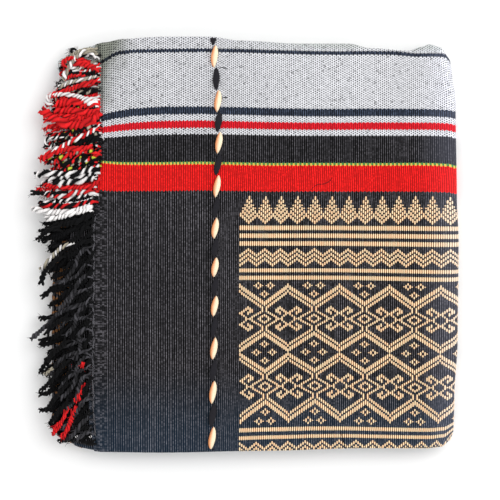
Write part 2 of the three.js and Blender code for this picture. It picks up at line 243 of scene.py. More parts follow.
# How far the woven lines lie below straight ones: x, then the dip at each of the rows
DIP_ROWS = (213, 199.5, 139.5, 125.5, 86, 58.5, 45, 20, -30, -60, -90, -125, -150, -165, -177, -202)
STRIPE_DIPS = (
    (-150, 12.0, 12.9, 8.5, 6.9, -2.5, -1.0, 0, 0, 0, 0, 0, 0, 0, 0, 0, 0),
    (-144, 8.0, 8.6, 6.8, 5.6, -1.5, -0.2, 0, 0, 0, 0, 0, 0, 0, 0, 0, 0),
    (-138, 4.0, 4.4, 5.4, 4.4, -1.0, 0, 0, 0, 0, 0, 0, 0, 0, 0, 0, 0),
    (-132, 1.8, 1.9, 4.1, 3.4, -0.4, 0.2, 0, 0, 0, 0, 0, 0, 0, 0, 0, 0),
    (-118, 0.4, 0.4, 1.9, 1.7, 0, 0, 0, 0, 0, 0, 0, 0, 0, 0, 0, 0),
    (-90, 0, 0, 0, 0, 0, 0, 0, 0, 0, 0, 0, 0, 0, 0, 0, 0),
    (-50, -0.3, -0.4, -0.2, -0.6, -0.5, -0.6, 0, 0, 0, 0, 0, 0, 0, 0, 0, 0),
    (-10, 0.2, 0, 0.4, 0.2, 0.3, 0, -0.7, 0.3, 0.2, 0.9, 0, -0.1, 0.1, 1.0, 2.1, 2.4),
    (20, 1.5, 1.0, 1.3, 1.0, 0.9, 0.6, -0.2, 0.4, 0.1, 0.8, -0.2, -0.6, -0.5, 0.4, 1.3, 1.5),
    (60, 2.9, 2.1, 2.1, 1.5, 0.7, 0.4, -0.4, 0.3, 0, 0.4, -0.6, -1.2, -1.2, -0.2, 0.9, 1.2),
    (90, 3.6, 2.5, 2.2, 1.5, 0.8, 0.5, 0.2, 0.4, 0.1, 0.6, -0.3, -0.9, -0.8, 0.4, 1.5, 1.9),
    (120, 3.6, 2.0, 1.8, 1.2, 0.9, 0.5, 0.2, 0.7, 0.6, 1.1, 0.3, -0.3, -0.2, 1.0, 2.3, 2.8),
    (145, 4.4, 2.4, 1.9, 1.3, 0.8, 0.5, -0.3, 0.8, 1.1, 1.8, 1.0, 0.4, 0.2, 1.1, 2.8, 3.4),
    (165, 6.2, 4.4, 2.0, 1.4, 0.6, 0.6, -0.6, 1.0, 1.6, 2.5, 1.5, 1.0, 0.6, 1.4, 3.3, 3.8),
    (185, 6.4, 4.2, 2.4, 1.5, 0.9, 0.9, -0.3, 1.2, 2.0, 2.5, 1.9, 1.1, 0.9, 1.9, 3.5, 3.9),
    (200, 7.0, 4.6, 3.4, 2.4, 1.9, 1.6, 0.3, 1.2, 2.0, 2.5, 1.9, 1.0, 0.5, 1.2, 2.7, 3.0),
    (207, 8.0, 6.4, 6.2, 5.2, 4.6, 3.9, 2.2, 1.4, 2.0, 2.5, 1.9, 1.0, 0.5, 1.2, 2.7, 3.0),
)

# How far the ribs of the panel lean to the left: place across the cloth, shift
RIB_LEAN = (
    (-202, 0.4), (-186, 0.4), (-170, -0.4), (-150, -0.8), (-125, -0.2), (-90, 0.3), (-50, 0.3),
    (-6, 0), (20, -0.3), (45, -0.8), (55, -1.2), (62, -1.2), (95, 0),
)

# Middle of the brocade panel and of the grey border, across the cloth
PANEL_MIDDLE = -102.6
BORDER_MIDDLE = 245.0
HALF_REPEAT = BORDER_MIDDLE - PANEL_MIDDLE


def look_up(table, place, column=1):
    """Column of a table at a place between its rows, eased from row to row."""
    at = np.array([row[0] for row in table], float)
    value = np.array([row[column] for row in table], float)
    place = np.asarray(place, float)
    low = np.clip(np.searchsorted(at, place) - 1, 0, len(at) - 2)
    share = np.clip((place - at[low]) / (at[low + 1] - at[low]), 0, 1)
    return value[low] + (value[low + 1] - value[low]) * share * share * (3 - 2 * share)


def fade(distance, reach):
    """One at an edge and beyond it, falling smoothly to nothing at the reach."""
    share = np.clip(np.asarray(distance, float) / reach, 0, 1)
    return 1 - share * share * (3 - 2 * share)


def height_share(x, y):
    """Share of the even height that the swells and creases leave at a place."""
    share = np.ones_like(np.asarray(x, float))
    for at_x, at_y, reach_x, reach_y, rise in SWELLS:
        share = share + rise * np.exp(-(((x - at_x) / reach_x) ** 2) - ((y - at_y) / reach_y) ** 2)
    full = 2 * PLY_HALF * PLIES
    for at_x, at_y, turn, length, width, rise in CREASES:
        cos, sin = math.cos(math.radians(turn)), math.sin(math.radians(turn))
        along = (x - at_x) * cos + (y - at_y) * sin
        across = (y - at_y) * cos - (x - at_x) * sin + 0.002 * along * along
        share = share + rise / full * np.exp(-((along / (length / 2)) ** 2) - (across / width) ** 2)
    return share


def settle_plan(x, y):
    """Where a place of the even stack lies in the uneven one, seen from above."""
    left = look_up(LEFT_LINE, y) * fade(x - UPPER_END, LEFT_FADE)
    right = look_up(RIGHT_LINE, y) * fade(RIGHT_EDGE - x, RIGHT_FADE)
    far = look_up(FAR_LINE, x) * fade(FAR_EDGE - y, FAR_FADE)
    near = look_up(NEAR_LINE, x) * fade(y - NEAR_EDGE, NEAR_FADE)
    return x + left + right, y + far + near


def stack_shift():
    """Shift from the stack's own plan to the frame of the part, in metres."""
    low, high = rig.box("folded_cloth")
    shift_x = (low.x + high.x) / 2 - STACK_MIDDLE[0] * MM
    shift_y = (low.y + high.y) / 2 - STACK_MIDDLE[1] * MM
    return shift_x, shift_y


def settle(x, y, z):
    """Point of the evenly folded stack, where the uneven stack has it, in metres."""
    plan_x, plan_y = settle_plan(x, y)
    shift_x, shift_y = stack_shift()
    height = z * height_share(x, y)
    return np.stack([plan_x * MM + shift_x, plan_y * MM + shift_y, height * MM], axis=-1)


def straight(start, end, level, facing, step, run):
    """Stations of a straight stretch: place, level, outward way and run along the cloth."""
    count = max(2, int(round(abs(end - start) / step)) + 1)
    places = np.linspace(start, end, count)
    return [(p, level, 0.0, facing, run + abs(p - start)) for p in places]


def half_turn(centre, level, radius, start, end, steps, run, facing=1.0):
    """Stations of a half turn, its ends left out."""
    made = []
    for i in range(1, steps):
        angle = start + (end - start) * i / steps
        cos, sin = math.cos(angle), math.sin(angle)
        far = run + abs(angle - start) * radius
        made.append((centre + radius * cos, level + radius * sin, facing * cos, facing * sin, far))
    return made


def ply_outline():
    """Stations across the cloth, from its inner selvedge to its lower one."""
    near = NEAR_EDGE + LEVEL / 2 + CLOTH / 2
    far = FAR_EDGE - PLY_HALF
    quarter = math.pi / 2
    inner = far - INNER_SETBACK
    run = near - math.pi * LEVEL / 2 - (inner - near)
    made = straight(inner, near, 0.0, -1.0, 12, run)
    run = near - math.pi * LEVEL / 2
    made += half_turn(near, LEVEL / 2, LEVEL / 2, -quarter, -3 * quarter, 8, run)
    made += straight(near, far, LEVEL, 1.0, 4.2, near)
    made += half_turn(far, 0.0, LEVEL, quarter, -quarter, 12, far)
    made += straight(far, NEAR_EDGE + LOWER_SETBACK, -LEVEL, -1.0, 12, far + math.pi * LEVEL)
    return np.array(made)


def ply_height(ply):
    """Height of the middle of a ply, the lowest being number 0."""
    return PLY_HALF + ply * PLY_PITCH


TOP_HEIGHT = ply_height(PLIES - 1)
CLOTH_TOP = TOP_HEIGHT + PLY_HALF


def ply_path():
    """Stations along the cloth, from its upper end to its lower end."""
    bottom, second, third, top = [ply_height(ply) for ply in range(PLIES)]
    outer = (top - bottom) / 2
    small = PLY_PITCH / 2
    right = RIGHT_EDGE - outer - PLY_HALF
    left = LEFT_FOLD + small + PLY_HALF
    middle = (bottom + top) / 2
    quarter = math.pi / 2
    run = UPPER_END
    made = straight(UPPER_END, right, top, 1.0, 4, run)
    run = right
    made += half_turn(right, middle, outer, quarter, -quarter, 18, run)
    run += math.pi * outer
    made += straight(right, left, bottom, -1.0, 12, run)
    run += right - left
    made += half_turn(left, (bottom + second) / 2, small, -quarter, -3 * quarter, 10, run)
    run += math.pi * small
    made += straight(left, right, second, 1.0, 12, run)
    run += right - left
    made += half_turn(right, middle, small, -quarter, quarter, 10, run, -1.0)
    run += math.pi * small
    made += straight(right, LOWER_END, third, -1.0, 12, run)
    return np.array(made)


CLOTH_PATH = ply_path()
CLOTH_OUTLINE = ply_outline()
RUN_OF_LOWER_END = float(CLOTH_PATH[-1, 4])


def rib_count(run):
    """Number of the rib at a place along the cloth."""
    return np.interp(run, [row[0] for row in RIBS], [row[1] for row in RIBS])


def rib_place(number):
    """Place along the cloth of a rib."""
    return np.interp(number, [row[1] for row in RIBS], [row[0] for row in RIBS])


def stripe_dip(x, y):
    """How far a woven line lies below its straight line, for a place seen from above."""
    at = [row[0] for row in STRIPE_DIPS]
    dips = [np.interp(x, at, [row[i + 1] for row in STRIPE_DIPS]) for i in range(len(DIP_ROWS))]
    found = dips[0]
    for i in range(1, len(DIP_ROWS)):
        share = np.clip((DIP_ROWS[i - 1] - y) / (DIP_ROWS[i - 1] - DIP_ROWS[i]), 0, 1)
        found = np.where(y < DIP_ROWS[i - 1], dips[i - 1] + (dips[i] - dips[i - 1]) * share, found)
    return found


def weave_shift(along, x, y):
    """How far the weave lies from an even one along and across, on the ply that shows."""
    plan_x, plan_y = settle_plan(x, y)
    top = fade(along - 196, 26)
    far = look_up(FAR_LINE, x) * fade(FAR_EDGE - y, FAR_FADE)
    across = top * (far + stripe_dip(plan_x, plan_y))
    lean = top * look_up(RIB_LEAN, y) * (1 - fade(x + 50, 40))
    return fade(along - 150, 50) * (plan_x - x) + lean, across


def folded_points(path, offset):
    """Points of the cloth at an offset from its middle, and their places in the weave."""
    x, height, out_x, out_z, along = [path[:, i][:, None] for i in range(5)]
    y, level, out_y, out_level, across = [CLOTH_OUTLINE[:, i][None, :] for i in range(5)]
    y = y + offset * out_y
    level = level + offset * out_level
    even_x = x + out_x * level
    even_y = y + 0 * even_x
    shift_along, shift_across = weave_shift(along + 0 * y, even_x, even_y)
    points = settle(even_x, even_y, height + out_z * level)
    along = along + shift_along
    return points, rib_count(along), across + shift_across, along


def point_on(line, run):
    """Place, level and outward way at a run along a line of stations."""
    order = np.argsort(line[:, 4])
    found = [np.interp(run, line[order, 4], line[order, i]) for i in range(4)]
    size = np.hypot(found[2], found[3])
    return found[0], found[1], found[2] / size, found[3] / size


def cloth_point(along, across, lift):
    """Point that stands a little out of the face of the cloth."""
    x, height, out_x, out_z = point_on(CLOTH_PATH, along)
    y, level, out_y, out_level = point_on(CLOTH_OUTLINE, across)
    y = y + (CLOTH / 2 + lift) * out_y
    level = level + (CLOTH / 2 + lift) * out_level
    return settle(x + out_x * level, y, height + out_z * level)


def even_place(along, across):
    """Run along and across the even cloth of a place in the weave."""
    run, reach = along + 0 * across, across + 0 * along
    for _ in range(4):
        x, _, out_x, _ = point_on(CLOTH_PATH, run)
        y, level, _, _ = point_on(CLOTH_OUTLINE, reach)
        shift_along, shift_across = weave_shift(run, x + out_x * level, y)
        run, reach = along - shift_along, across - shift_across
    return run, reach


def add_mesh(name, points, faces, smooth=True):
    """New object with its place in its mesh."""
    mesh = bpy.data.meshes.new(name)
    mesh.from_pydata([tuple(p) for p in points], [], [tuple(f) for f in faces])
    mesh.update()
    mesh.polygons.foreach_set("use_smooth", [smooth] * len(mesh.polygons))
    piece = bpy.data.objects.new(name, mesh)
    bpy.context.scene.collection.objects.link(piece)
    return piece


def add_attribute(piece, name, values):
    """Three numbers for each point of a piece, which its material reads."""
    made = piece.data.attributes.new(name, "FLOAT_VECTOR", "POINT")
    made.data.foreach_set("vector", np.asarray(values, np.float32).ravel())


def ring_faces(rings, count):
    """Faces between neighbouring rings of points that close on themselves."""
    ring, j = np.meshgrid(np.arange(rings - 1), np.arange(count), indexing="ij")
    nxt = (j + 1) % count
    a, b = ring * count + j, (ring + 1) * count + j
    c, d = (ring + 1) * count + nxt, ring * count + nxt
    return np.stack([a, b, c, d], axis=-1).reshape(-1, 4)


def tube_faces(rings, sides):
    """Faces of a tube that is closed at both ends."""
    last = (rings - 1) * sides
    faces = [tuple(int(v) for v in face) for face in ring_faces(rings, sides)]
    return faces + [tuple(range(sides))[::-1], tuple(range(last, last + sides))]


def later_faces(faces, count):
    """Faces on points that come after a count of other points."""
    return [tuple(v + count for v in face) for face in faces]


def yarn_marks(angle, run):
    """Place round a yarn and along it, for each point of its rings."""
    marks = [np.cos(angle) + 0 * run, np.sin(angle) + 0 * run, run + 0 * angle]
    return np.stack(marks, axis=-1).reshape(-1, 3)


def closed_sheet(name, path):
    """Piece of cloth of its full thickness, with the places of its points in the weave."""
    face = folded_points(path, CLOTH / 2)
    back = folded_points(path, -CLOTH / 2)
    points, *weave = [np.concatenate([f, b[:, ::-1]], axis=1) for f, b in zip(face, back)]
    rings, count = points.shape[:2]
    faces = [tuple(f) for f in ring_faces(rings, count)]
    last = (rings - 1) * count
    for i in range(count // 2 - 1):
        j = count - 1 - i
        faces.append((i, i + 1, j - 1, j))
        faces.append((last + j, last + j - 1, last + i + 1, last + i))
    piece = add_mesh(name, points.reshape(-1, 3), faces)
    add_attribute(piece, "weave", np.stack(weave, axis=-1).reshape(-1, 3))
    return piece


def face_outwards(piece):
    """Turns all faces of a closed piece outwards."""
    bpy.ops.object.select_all(action="DESELECT")
    piece.select_set(True)
    bpy.context.view_layer.objects.active = piece
    bpy.ops.object.mode_set(mode="EDIT")
    bpy.ops.mesh.select_all(action="SELECT")
    bpy.ops.mesh.normals_make_consistent(inside=False)
    bpy.ops.object.mode_set(mode="OBJECT")


def linear(colour):
    """Colour as seen on a screen, turned into light."""
    return tuple(c / 12.92 if c <= 0.04045 else ((c + 0.055) / 1.055) ** 2.4 for c in colour)


def colour_setting(name, description, red, green, blue):
    """Colour that can be set in the panel, from its parts of 255."""
    return bpy.props.FloatVectorProperty(
        name=name, description=description, subtype="COLOR", size=3,
        default=(red / 255, green / 255, blue / 255),
    )


def sign(operation, swapped=False):
    """Method of a value that stands for a sign of plain maths."""
    def apply(self, other):
        first, second = (other, self) if swapped else (self, other)
        return self.finish.function(operation, first, second)
    return apply


class Value:
    """One number or colour of a finish, so that sums on it are written as in plain maths."""

    def __init__(self, finish, socket):
        self.finish = finish
        self.socket = socket

    __add__, __radd__ = sign("ADD"), sign("ADD", True)
    __sub__, __rsub__ = sign("SUBTRACT"), sign("SUBTRACT", True)
    __mul__, __rmul__ = sign("MULTIPLY"), sign("MULTIPLY", True)
    __truediv__, __pow__ = sign("DIVIDE"), sign("POWER")
    __gt__, __lt__ = sign("GREATER_THAN"), sign("LESS_THAN")


class Made:
    """A node that has been placed, with its outputs as values."""

    def __init__(self, finish, node):
        self.finish = finish
        self.node = node

    def out(self, key):
        return Value(self.finish, self.node.outputs[key])


class Finish:
    """A material that is built up node by node."""

    def __init__(self, name):
        self.material = bpy.data.materials.new(name)
        self.material.use_nodes = True
        self.tree = self.material.node_tree
        self.tree.nodes.clear()

    def node(self, kind, settings=None, inputs=None):
        """Node of a kind, with its settings and the values or links of its sockets."""
        made = self.tree.nodes.new(kind)
        for key, value in (settings or {}).items():
            setattr(made, key, value)
        for key, value in (inputs or {}).items():
            if isinstance(value, Value):
                self.tree.links.new(value.socket, made.inputs[key])
            elif isinstance(value, tuple) and len(value) == 3 and made.inputs[key].type == "RGBA":
                made.inputs[key].default_value = (*value, 1.0)
            else:
                made.inputs[key].default_value = value
        return Made(self, made)

    def function(self, operation, *values):
        """Math node of the given kind on one or two values."""
        inputs = dict(enumerate(values))
        return self.node("ShaderNodeMath", {"operation": operation}, inputs).out(0)

    def blend(self, share, first, second, way="MIX"):
        """Colour between two colours."""
        settings = {"data_type": "RGBA", "blend_type": way}
        return self.node("ShaderNodeMix", settings, {0: share, 6: first, 7: second}).out(2)

    def toned(self, colour, tone):
        """Colour made lighter or darker by a number."""
        return self.blend(1.0, colour, self.vector(tone, tone, tone), "MULTIPLY")

    def ease(self, value, low, high):
        """Nothing at the low value and one at the high value, smoothly between them."""
        settings = {"interpolation_type": "SMOOTHSTEP"}
        inputs = {"Value": value, "From Min": low, "From Max": high}
        return self.node("ShaderNodeMapRange", settings, inputs).out(0)

    def vector(self, x, y, z):
        """Vector from three numbers."""
        return self.node("ShaderNodeCombineXYZ", {}, {0: x, 1: y, 2: z}).out(0)

    def noise(self, place, scale, detail=2.0):
        """Soft noise from nothing to one."""
        inputs = {"Vector": place, "Scale": scale, "Detail": detail}
        return self.node("ShaderNodeTexNoise", {}, inputs).out(0)

    def grain(self, place):
        """One random number for each place."""
        return self.node("ShaderNodeTexWhiteNoise", {}, {"Vector": place}).out(0)

    def read(self, name):
        """The three numbers of a piece's own attribute."""
        stored = self.node("ShaderNodeAttribute", {"attribute_name": name}).out("Vector")
        parts = self.node("ShaderNodeSeparateXYZ", {}, {0: stored})
        return parts.out(0), parts.out(1), parts.out(2)

    def surface(self, colour, roughness, height=None, depth=0.0004, sheen=0.0):
        """Closes the material with its colour, roughness and relief."""
        inputs = {"Base Color": colour, "Roughness": roughness, "Sheen Weight": sheen}
        inputs["Specular IOR Level"] = 0.1
        inputs["Sheen Roughness"] = 0.6
        if height is not None:
            bump = {"Height": height, "Distance": depth, "Strength": 1.0}
            inputs["Normal"] = self.node("ShaderNodeBump", {}, bump).out(0)
        shader = self.node("ShaderNodeBsdfPrincipled", {}, inputs).out(0)
        self.node("ShaderNodeOutputMaterial", {}, {"Surface": shader})
        return self.material


def finish_piece(piece, material, slot_name, *nodes):
    """Gives a piece its finish, and puts it in the place of its solids, if it has any."""
    piece.data.materials.append(material)
    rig.ride(piece, "root")
    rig.slot(piece, slot_name)
    if nodes:
        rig.replaces(piece, *nodes)


class ClothProperties(bpy.types.PropertyGroup):
    grey: colour_setting("Grey", "Light yarn of the grey border", 248, 249, 254)
    navy: colour_setting("Navy", "Narrow dark blue stripes", 76, 86, 106)
    crimson: colour_setting("Narrow red", "Narrow red stripe", 246, 36, 50)
    red: colour_setting("Broad red", "Broad red band", 255, 35, 34)
    black: colour_setting("Black", "Ground of the cloth", 92, 90, 95)
    green: colour_setting("Green", "Green of the dotted line", 84, 150, 80)
    yellow: colour_setting("Yellow", "Yellow of the dotted line", 248, 214, 98)
    rib_depth: bpy.props.FloatProperty(
        name="Rib depth", description="Depth of the grooves between the ribs",
        default=0.45 * MM, unit="LENGTH",
    )


# Stripes outwards from the black of the panel: where each starts, its yarn, its speckle, and
# how dark the painted shade in the grooves between its ribs is
STRIPES = (
    (161.6, "broad red", 0, 0.64), (188.5, "plain black", 0, 1.0), (218.0, "grey", 1, 0),
    (224.2, "narrow red", 0, 0.56), (231.6, "grey", 1, 0), (238.2, "navy", 0, 0.9),
    (245.9, "grey", 1, 0), (300.3, "navy", 0, 0.9), (303.9, "grey", 1, 0),
)

# Length of the black stretch at the lower end, depth of the teeth, rows of the dotted line, and how
# dark the painted shade in the grooves is
BLACK_END = 55
TOOTH = 0.55
GREEN_ROWS = (188.3, 190.7)
YELLOW_ROWS = (187.5, 190.2)
DOTTED_GROOVE_SHADE = 0.3
DEEP_GROOVE_SHADE = 0.7

# Painted light and shade of the cloth: cool shade towards the near edge, shade where it turns over
# the far fold, sheen and its haze where it turns over the right folds, and shade in the shaded corner.
# They multiply or replace its colour.
NEAR_SHADE_TINT = (0.1, 0.45, 0.9)
FAR_FOLD_SHADE = (0.82, 0.85, 0.8)
RIGHT_SHEEN_TINT = (1.2, 1.2, 1.24)
SHEEN_HAZE_TINT = (0.5, 0.53, 0.7)
CORNER_TINT = (0.3, 0.32, 0.25)

# Beyond this place across the cloth lie the layers that don't show
HIDDEN_PLACE = 260.0

# Widths of the threads across the ribs, and of the beads of light on the ribs
THREAD = 1.2
BEAD = 1.5

# Ribs that lie more than this many to the left of a motif's middle look further apart, by this
# share
WIDER_RIBS = 40.0
WIDER_SHARE = 0.21

# One thread of the speckle in about thirty is darker
DARK_THREAD = 0.97


def stripe_yarns(finish, folded, tooth, settings):
    """Colour, speckle and darkness of the painted groove shade of the stripes and of the dotted line."""
    black, red = linear(settings.black), linear(settings.red)
    yarns = {
        "grey": linear(settings.grey),
        "navy": linear(settings.navy),
        "narrow red": linear(settings.crimson),
        "broad red": tuple(1.14 * part for part in red),
        "plain black": tuple(0.74 * part for part in black),
    }
    place = folded + tooth * TOOTH
    colour, speckle, depth = black, 0, 1.0
    for start, yarn, speckled, deep in STRIPES:
        beyond = place > start
        colour = finish.blend(beyond, colour, yarns[yarn])
        speckle = beyond * (speckled - speckle) + speckle
        depth = beyond * (deep - depth) + depth
    blocks = (folded > GREEN_ROWS[0]) * (folded < GREEN_ROWS[1]) * (tooth < 0.2)
    colour = finish.blend(blocks, colour, linear(settings.green))
    dots = (folded > YELLOW_ROWS[0]) * (folded < YELLOW_ROWS[1]) * (tooth > 0.2)
    colour = finish.blend(dots, colour, linear(settings.yellow))
    return colour, speckle, depth + (dots + blocks) * (DOTTED_GROOVE_SHADE - depth)


def rib_light(finish, weave, speckle, depth):
    """Painted highlights on the ribs and painted shade in the grooves, the light and dark threads across them, and
    their relief.
    """
    rib, across, along = weave
    line = rib - finish.function("MINIMUM", rib + WIDER_RIBS, 0.0) * WIDER_SHARE
    crest = finish.function("COSINE", line * (2 * math.pi)) * 0.5 + 0.5
    sharp = crest ** 4.0
    number = finish.function("FLOOR", line + 0.5)
    # Painted highlights on the rib crests and painted shade in the grooves; the highlights are uneven
    # from one rib to the next, and along each of them
    uneven = finish.grain(finish.vector(number, 3.0, 7.0))
    broken = finish.noise(finish.vector(line * 0.8, across * 0.16, 0.0), 1.0, 3.0)
    patches = finish.noise(finish.vector(along * 0.014, across * 0.014, 0.0), 1.0, 3.0)
    bead = finish.grain(finish.vector(number, finish.function("FLOOR", across / BEAD), 5.0))
    rib_tone = sharp * (uneven * 0.6 + broken * 0.8 + bead * bead * 1.2) + 0.008
    tone = 1 - depth * (1 - rib_tone * (0.6 + patches * 0.8))
    # Speckle of light and dark threads that take turns on the ribs, with painted shade in the grooves
    weft = finish.function("COSINE", across * (math.pi / THREAD))
    turns = finish.function("SINE", line * math.pi) * weft * 2.0
    check = finish.node("ShaderNodeClamp", {}, {0: turns, 1: -1.0, 2: 1.0}).out(0)
    cell = finish.grain(finish.vector(number, finish.function("FLOOR", across / THREAD), 1.0))
    pair = finish.function("FLOOR", across / (2 * THREAD))
    fleck = finish.grain(finish.vector(number, pair, 9.0))
    east = finish.ease(along, -50.0, 50.0)
    grooves = (1 - crest) * (check * 0.46 + 0.42)
    flecks = 0.63 + east * 0.05 - grooves + cell * 0.22 - (fleck > DARK_THREAD) * 0.25
    tone = tone + speckle * (flecks * (0.9 + patches * 0.2) - tone)
    # Denser strip beside the fringe
    dense = (1 - finish.ease(along, -145.0, -141.0)) * (1 - speckle) * (depth > DEEP_GROOVE_SHADE)
    tone = tone + dense * (cell ** 3.0 * 0.85 + crest * 0.06 + broken * 0.08 - tone)
    relief = crest * 0.8 + finish.function("ABSOLUTE", weft) * crest * 0.2
    return tone, relief


def cloth_finish(settings):
    """Ribbed weave with its stripes, teeth, dotted line and speckled grey, and its painted light and shade."""
    finish = Finish("ribbed_blanket_weave")
    rib, across, along = finish.read("weave")
    tooth = finish.function("SINE", rib * math.pi)
    # The stripes are the same on both sides of the panel, but the hidden layers are black near the lower end
    folded = finish.function("PINGPONG", across - PANEL_MIDDLE, HALF_REPEAT)
    folded = folded * (1 - (along > RUN_OF_LOWER_END - BLACK_END) * (across > HIDDEN_PLACE))
    colour, speckle, depth = stripe_yarns(finish, folded, tooth, settings)
    tone, relief = rib_light(finish, (rib, across, along), speckle, depth)
    picked = finish.toned(colour, tone)
    # Painted cool shade towards the near edge, and painted shade where the weave turns over the far fold
    near = finish.ease(across * -1.0, 110.0, 205.0)
    picked = finish.blend(near * 0.03, picked, NEAR_SHADE_TINT)
    roll_shade = finish.ease(across, 201.0, 208.0) * (across < HIDDEN_PLACE)
    roll_shade = roll_shade * finish.ease(along, -40.0, 90.0)
    picked = finish.blend(roll_shade, picked, FAR_FOLD_SHADE, "MULTIPLY")
    # Painted sheen, paler and a little hazy, where the weave turns over the right folds
    right_sheen = finish.ease(along, 160.0, 206.0) * (along < 230.0)
    picked = finish.blend(right_sheen, picked, RIGHT_SHEEN_TINT, "MULTIPLY")
    sheen_haze = right_sheen * ((depth > DEEP_GROOVE_SHADE) * 0.06 + 0.015)
    picked = finish.blend(sheen_haze, picked, SHEEN_HAZE_TINT)
    # Shaded corner beside the fringe at the far edge
    blotch = finish.noise(finish.vector(along * 0.05, across * 0.03, 2.0), 1.0, 3.0) * 26.0
    corner = finish.ease(across * 0.45 - along + blotch, 214.0, 252.0)
    corner = corner * (across > 60.0) * (across < HIDDEN_PLACE)
    picked = finish.blend(corner * 0.95, picked, CORNER_TINT, "MULTIPLY")
    return finish.surface(picked, 0.9, relief, settings.rib_depth, 0.0)


class BLANKET_OT_cloth(bpy.types.Operator):
    """Fold the striped cloth into its stack."""

    bl_idname = "blanket.cloth"
    bl_label = "Folded cloth"

    def execute(self, context):
        piece = closed_sheet("woven_cloth", CLOTH_PATH)
        material = cloth_finish(context.scene.blanket_cloth)
        finish_piece(piece, material, "cloth", "folded_cloth")
        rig.sheet(piece, flat=(FLAT_WIDTH, FLAT_LENGTH), held="folded")
        return {"FINISHED"}


# Rows of the brocade count downwards in millimetres, as seen from above. The middle row runs
# through the middle of the stack, and the panel is the same on both sides of its mirror row.
MIDDLE_ROW = 250.0
MIRROR_ROW = 352.6
FIRST_ROW = 190
FIELD_ROW = 281.5
LAST_ROW = 458

# How far the rows lie nearer than even ones, at the near edge
NEAR_SLIP = 2.3

# Columns of the brocade are ribs: from where it starts to past the right fold, and round the
# left fold
TOP_COLUMNS = range(-24, 92)
FOLD_COLUMNS = range(266, 284)

# Crowns: repeat, column of a tip, the rows of each column from a tip outwards, and the length
# of the floats and of the gaps that cut them
CROWN_PERIOD = 8
CROWN_TIP = 4
CROWN_ROWS = ((195.7, 224.0), (199.5, 222.3), (204.9, 220.6), (207.9, 218.8), (212.9, 217.1))
CROWN_CUT = 4.72
CROWN_GAP = 0.9
SHORTEST_REST = 1.6

# Plain bands, and the zigzag lines between them
BAND_ROWS = (
    (225.1, 230.1), (232.9, 237.9), (240.7, 245.8), (268.0, 272.3), (275.3, 280.0),
)
CHEVRON_ROW = 247.7
CHEVRON_SLOPE = 1.5
CHEVRON_STEP = 4.7
CHEVRON_FLOAT = 3.4

# Field of diamonds: repeat, first row, slope of the arms, and rows of each column of a motif
DIAMOND_PERIOD = 24
DIAMOND_ROW = 283.0
DIAMOND_SLOPE = 1.4
DIAMOND_MIDDLE = 318.3
HALF_PERIOD = DIAMOND_PERIOD // 2
DIAMOND_ARM = 4.9
INNER_ARM = (6.1, 9.4)
INNER_TIP = (6.1, 8.1)
SMALL_DIAMOND = {
    11: (306.7, 311.7), 10: (310.3, 313.0), 9: (311.5, 314.0), 8: (312.8, 315.3),
    7: (313.8, 316.5), 6: (315.0, 318.3), 5: (316.7, 318.3), 4: (317.5, 318.3),
}
NESTED_RING = {0: (2.5, 5.1), 1: (1.3, 4.1), 2: (0.0, 2.8), 3: (0.0, 1.0)}
HOOKED_CROSS = {
    0: ((4.7, 7.0),), 1: ((3.2, 8.5),), 2: ((6.5, 9.8), (2.0, 4.3)), 3: ((8.1, 11.5), (0.0, 2.7)),
    4: ((9.3, 13.1), (3.9, 7.8)), 5: ((5.5, 12.0),), 6: ((6.3, 10.4),),
}
FLOWER = {0: (1.2, 3.6), 1: (0.0, 2.0), 2: (0.0, 0.6)}
FLOWERS = ((0, 293.6), (3, 285.3), (-3, 285.3), (0, 344.2), (4, MIRROR_ROW), (-4, MIRROR_ROW))

# Yarn of the floats. Floats that lie closer than the join are one float, and long ones are
# parted.
JOIN = 0.15
LONGEST_FLOAT = 6.6
FLOAT_WIDTH = 0.9
FLOAT_HEIGHT = 0.5
PRESSED_HEIGHT = -0.15


def mirrored(row, middle):
    """Row on the other side of a mirror line."""
    return (2 * middle - row[1], 2 * middle - row[0])


def crown_floats(column):
    """Crowns along the edge of the panel: floats of one column, cut by slanting gaps."""
    step = (column - CROWN_TIP) % CROWN_PERIOD
    start, end = CROWN_ROWS[min(step, CROWN_PERIOD - step)]
    rows = []
    while end > start:
        low = max(start, end - CROWN_CUT + CROWN_GAP)
        if low - start < SHORTEST_REST:
            low = start
        rows.append((low, end))
        end = low - CROWN_GAP
    return rows


def chevron_floats(column):
    """Three zigzag lines between bands."""
    step = (column - CROWN_TIP) % CROWN_PERIOD
    fall = CHEVRON_ROW + CHEVRON_SLOPE * min(step, CROWN_PERIOD - step)
    starts = [fall + CHEVRON_STEP * line for line in range(3)]
    return [(start, start + CHEVRON_FLOAT) for start in starts]


def diamond_floats(column):
    """Upper half of the diamond field: zigzags, small diamonds, crosses and flowers."""
    step = column % DIAMOND_PERIOD
    step = min(step, DIAMOND_PERIOD - step)
    fall = DIAMOND_ROW + DIAMOND_SLOPE * step + 0.7 * min(step, 1)
    rows = [(fall, fall + DIAMOND_ARM)]
    if step < HALF_PERIOD:
        near, far = INNER_ARM if step < HALF_PERIOD - 1 else INNER_TIP
        rows.append((fall + near, fall + far))
    if step in SMALL_DIAMOND:
        rows.append(SMALL_DIAMOND[step])
    if step in HOOKED_CROSS:
        for near, far in HOOKED_CROSS[step]:
            rows.append((DIAMOND_MIDDLE - far, DIAMOND_MIDDLE - near))
    if HALF_PERIOD - step in NESTED_RING:
        near, far = NESTED_RING[HALF_PERIOD - step]
        rows.append((DIAMOND_MIDDLE - far, DIAMOND_MIDDLE - near))
    rows += [mirrored(row, DIAMOND_MIDDLE) for row in rows]
    offset = (column + HALF_PERIOD) % DIAMOND_PERIOD
    if offset > HALF_PERIOD:
        offset -= DIAMOND_PERIOD
    for shift, middle in FLOWERS:
        if abs(offset - shift) in FLOWER:
            near, far = FLOWER[abs(offset - shift)]
            rows += [(middle - far, middle - near), (middle + near, middle + far)]
    return rows


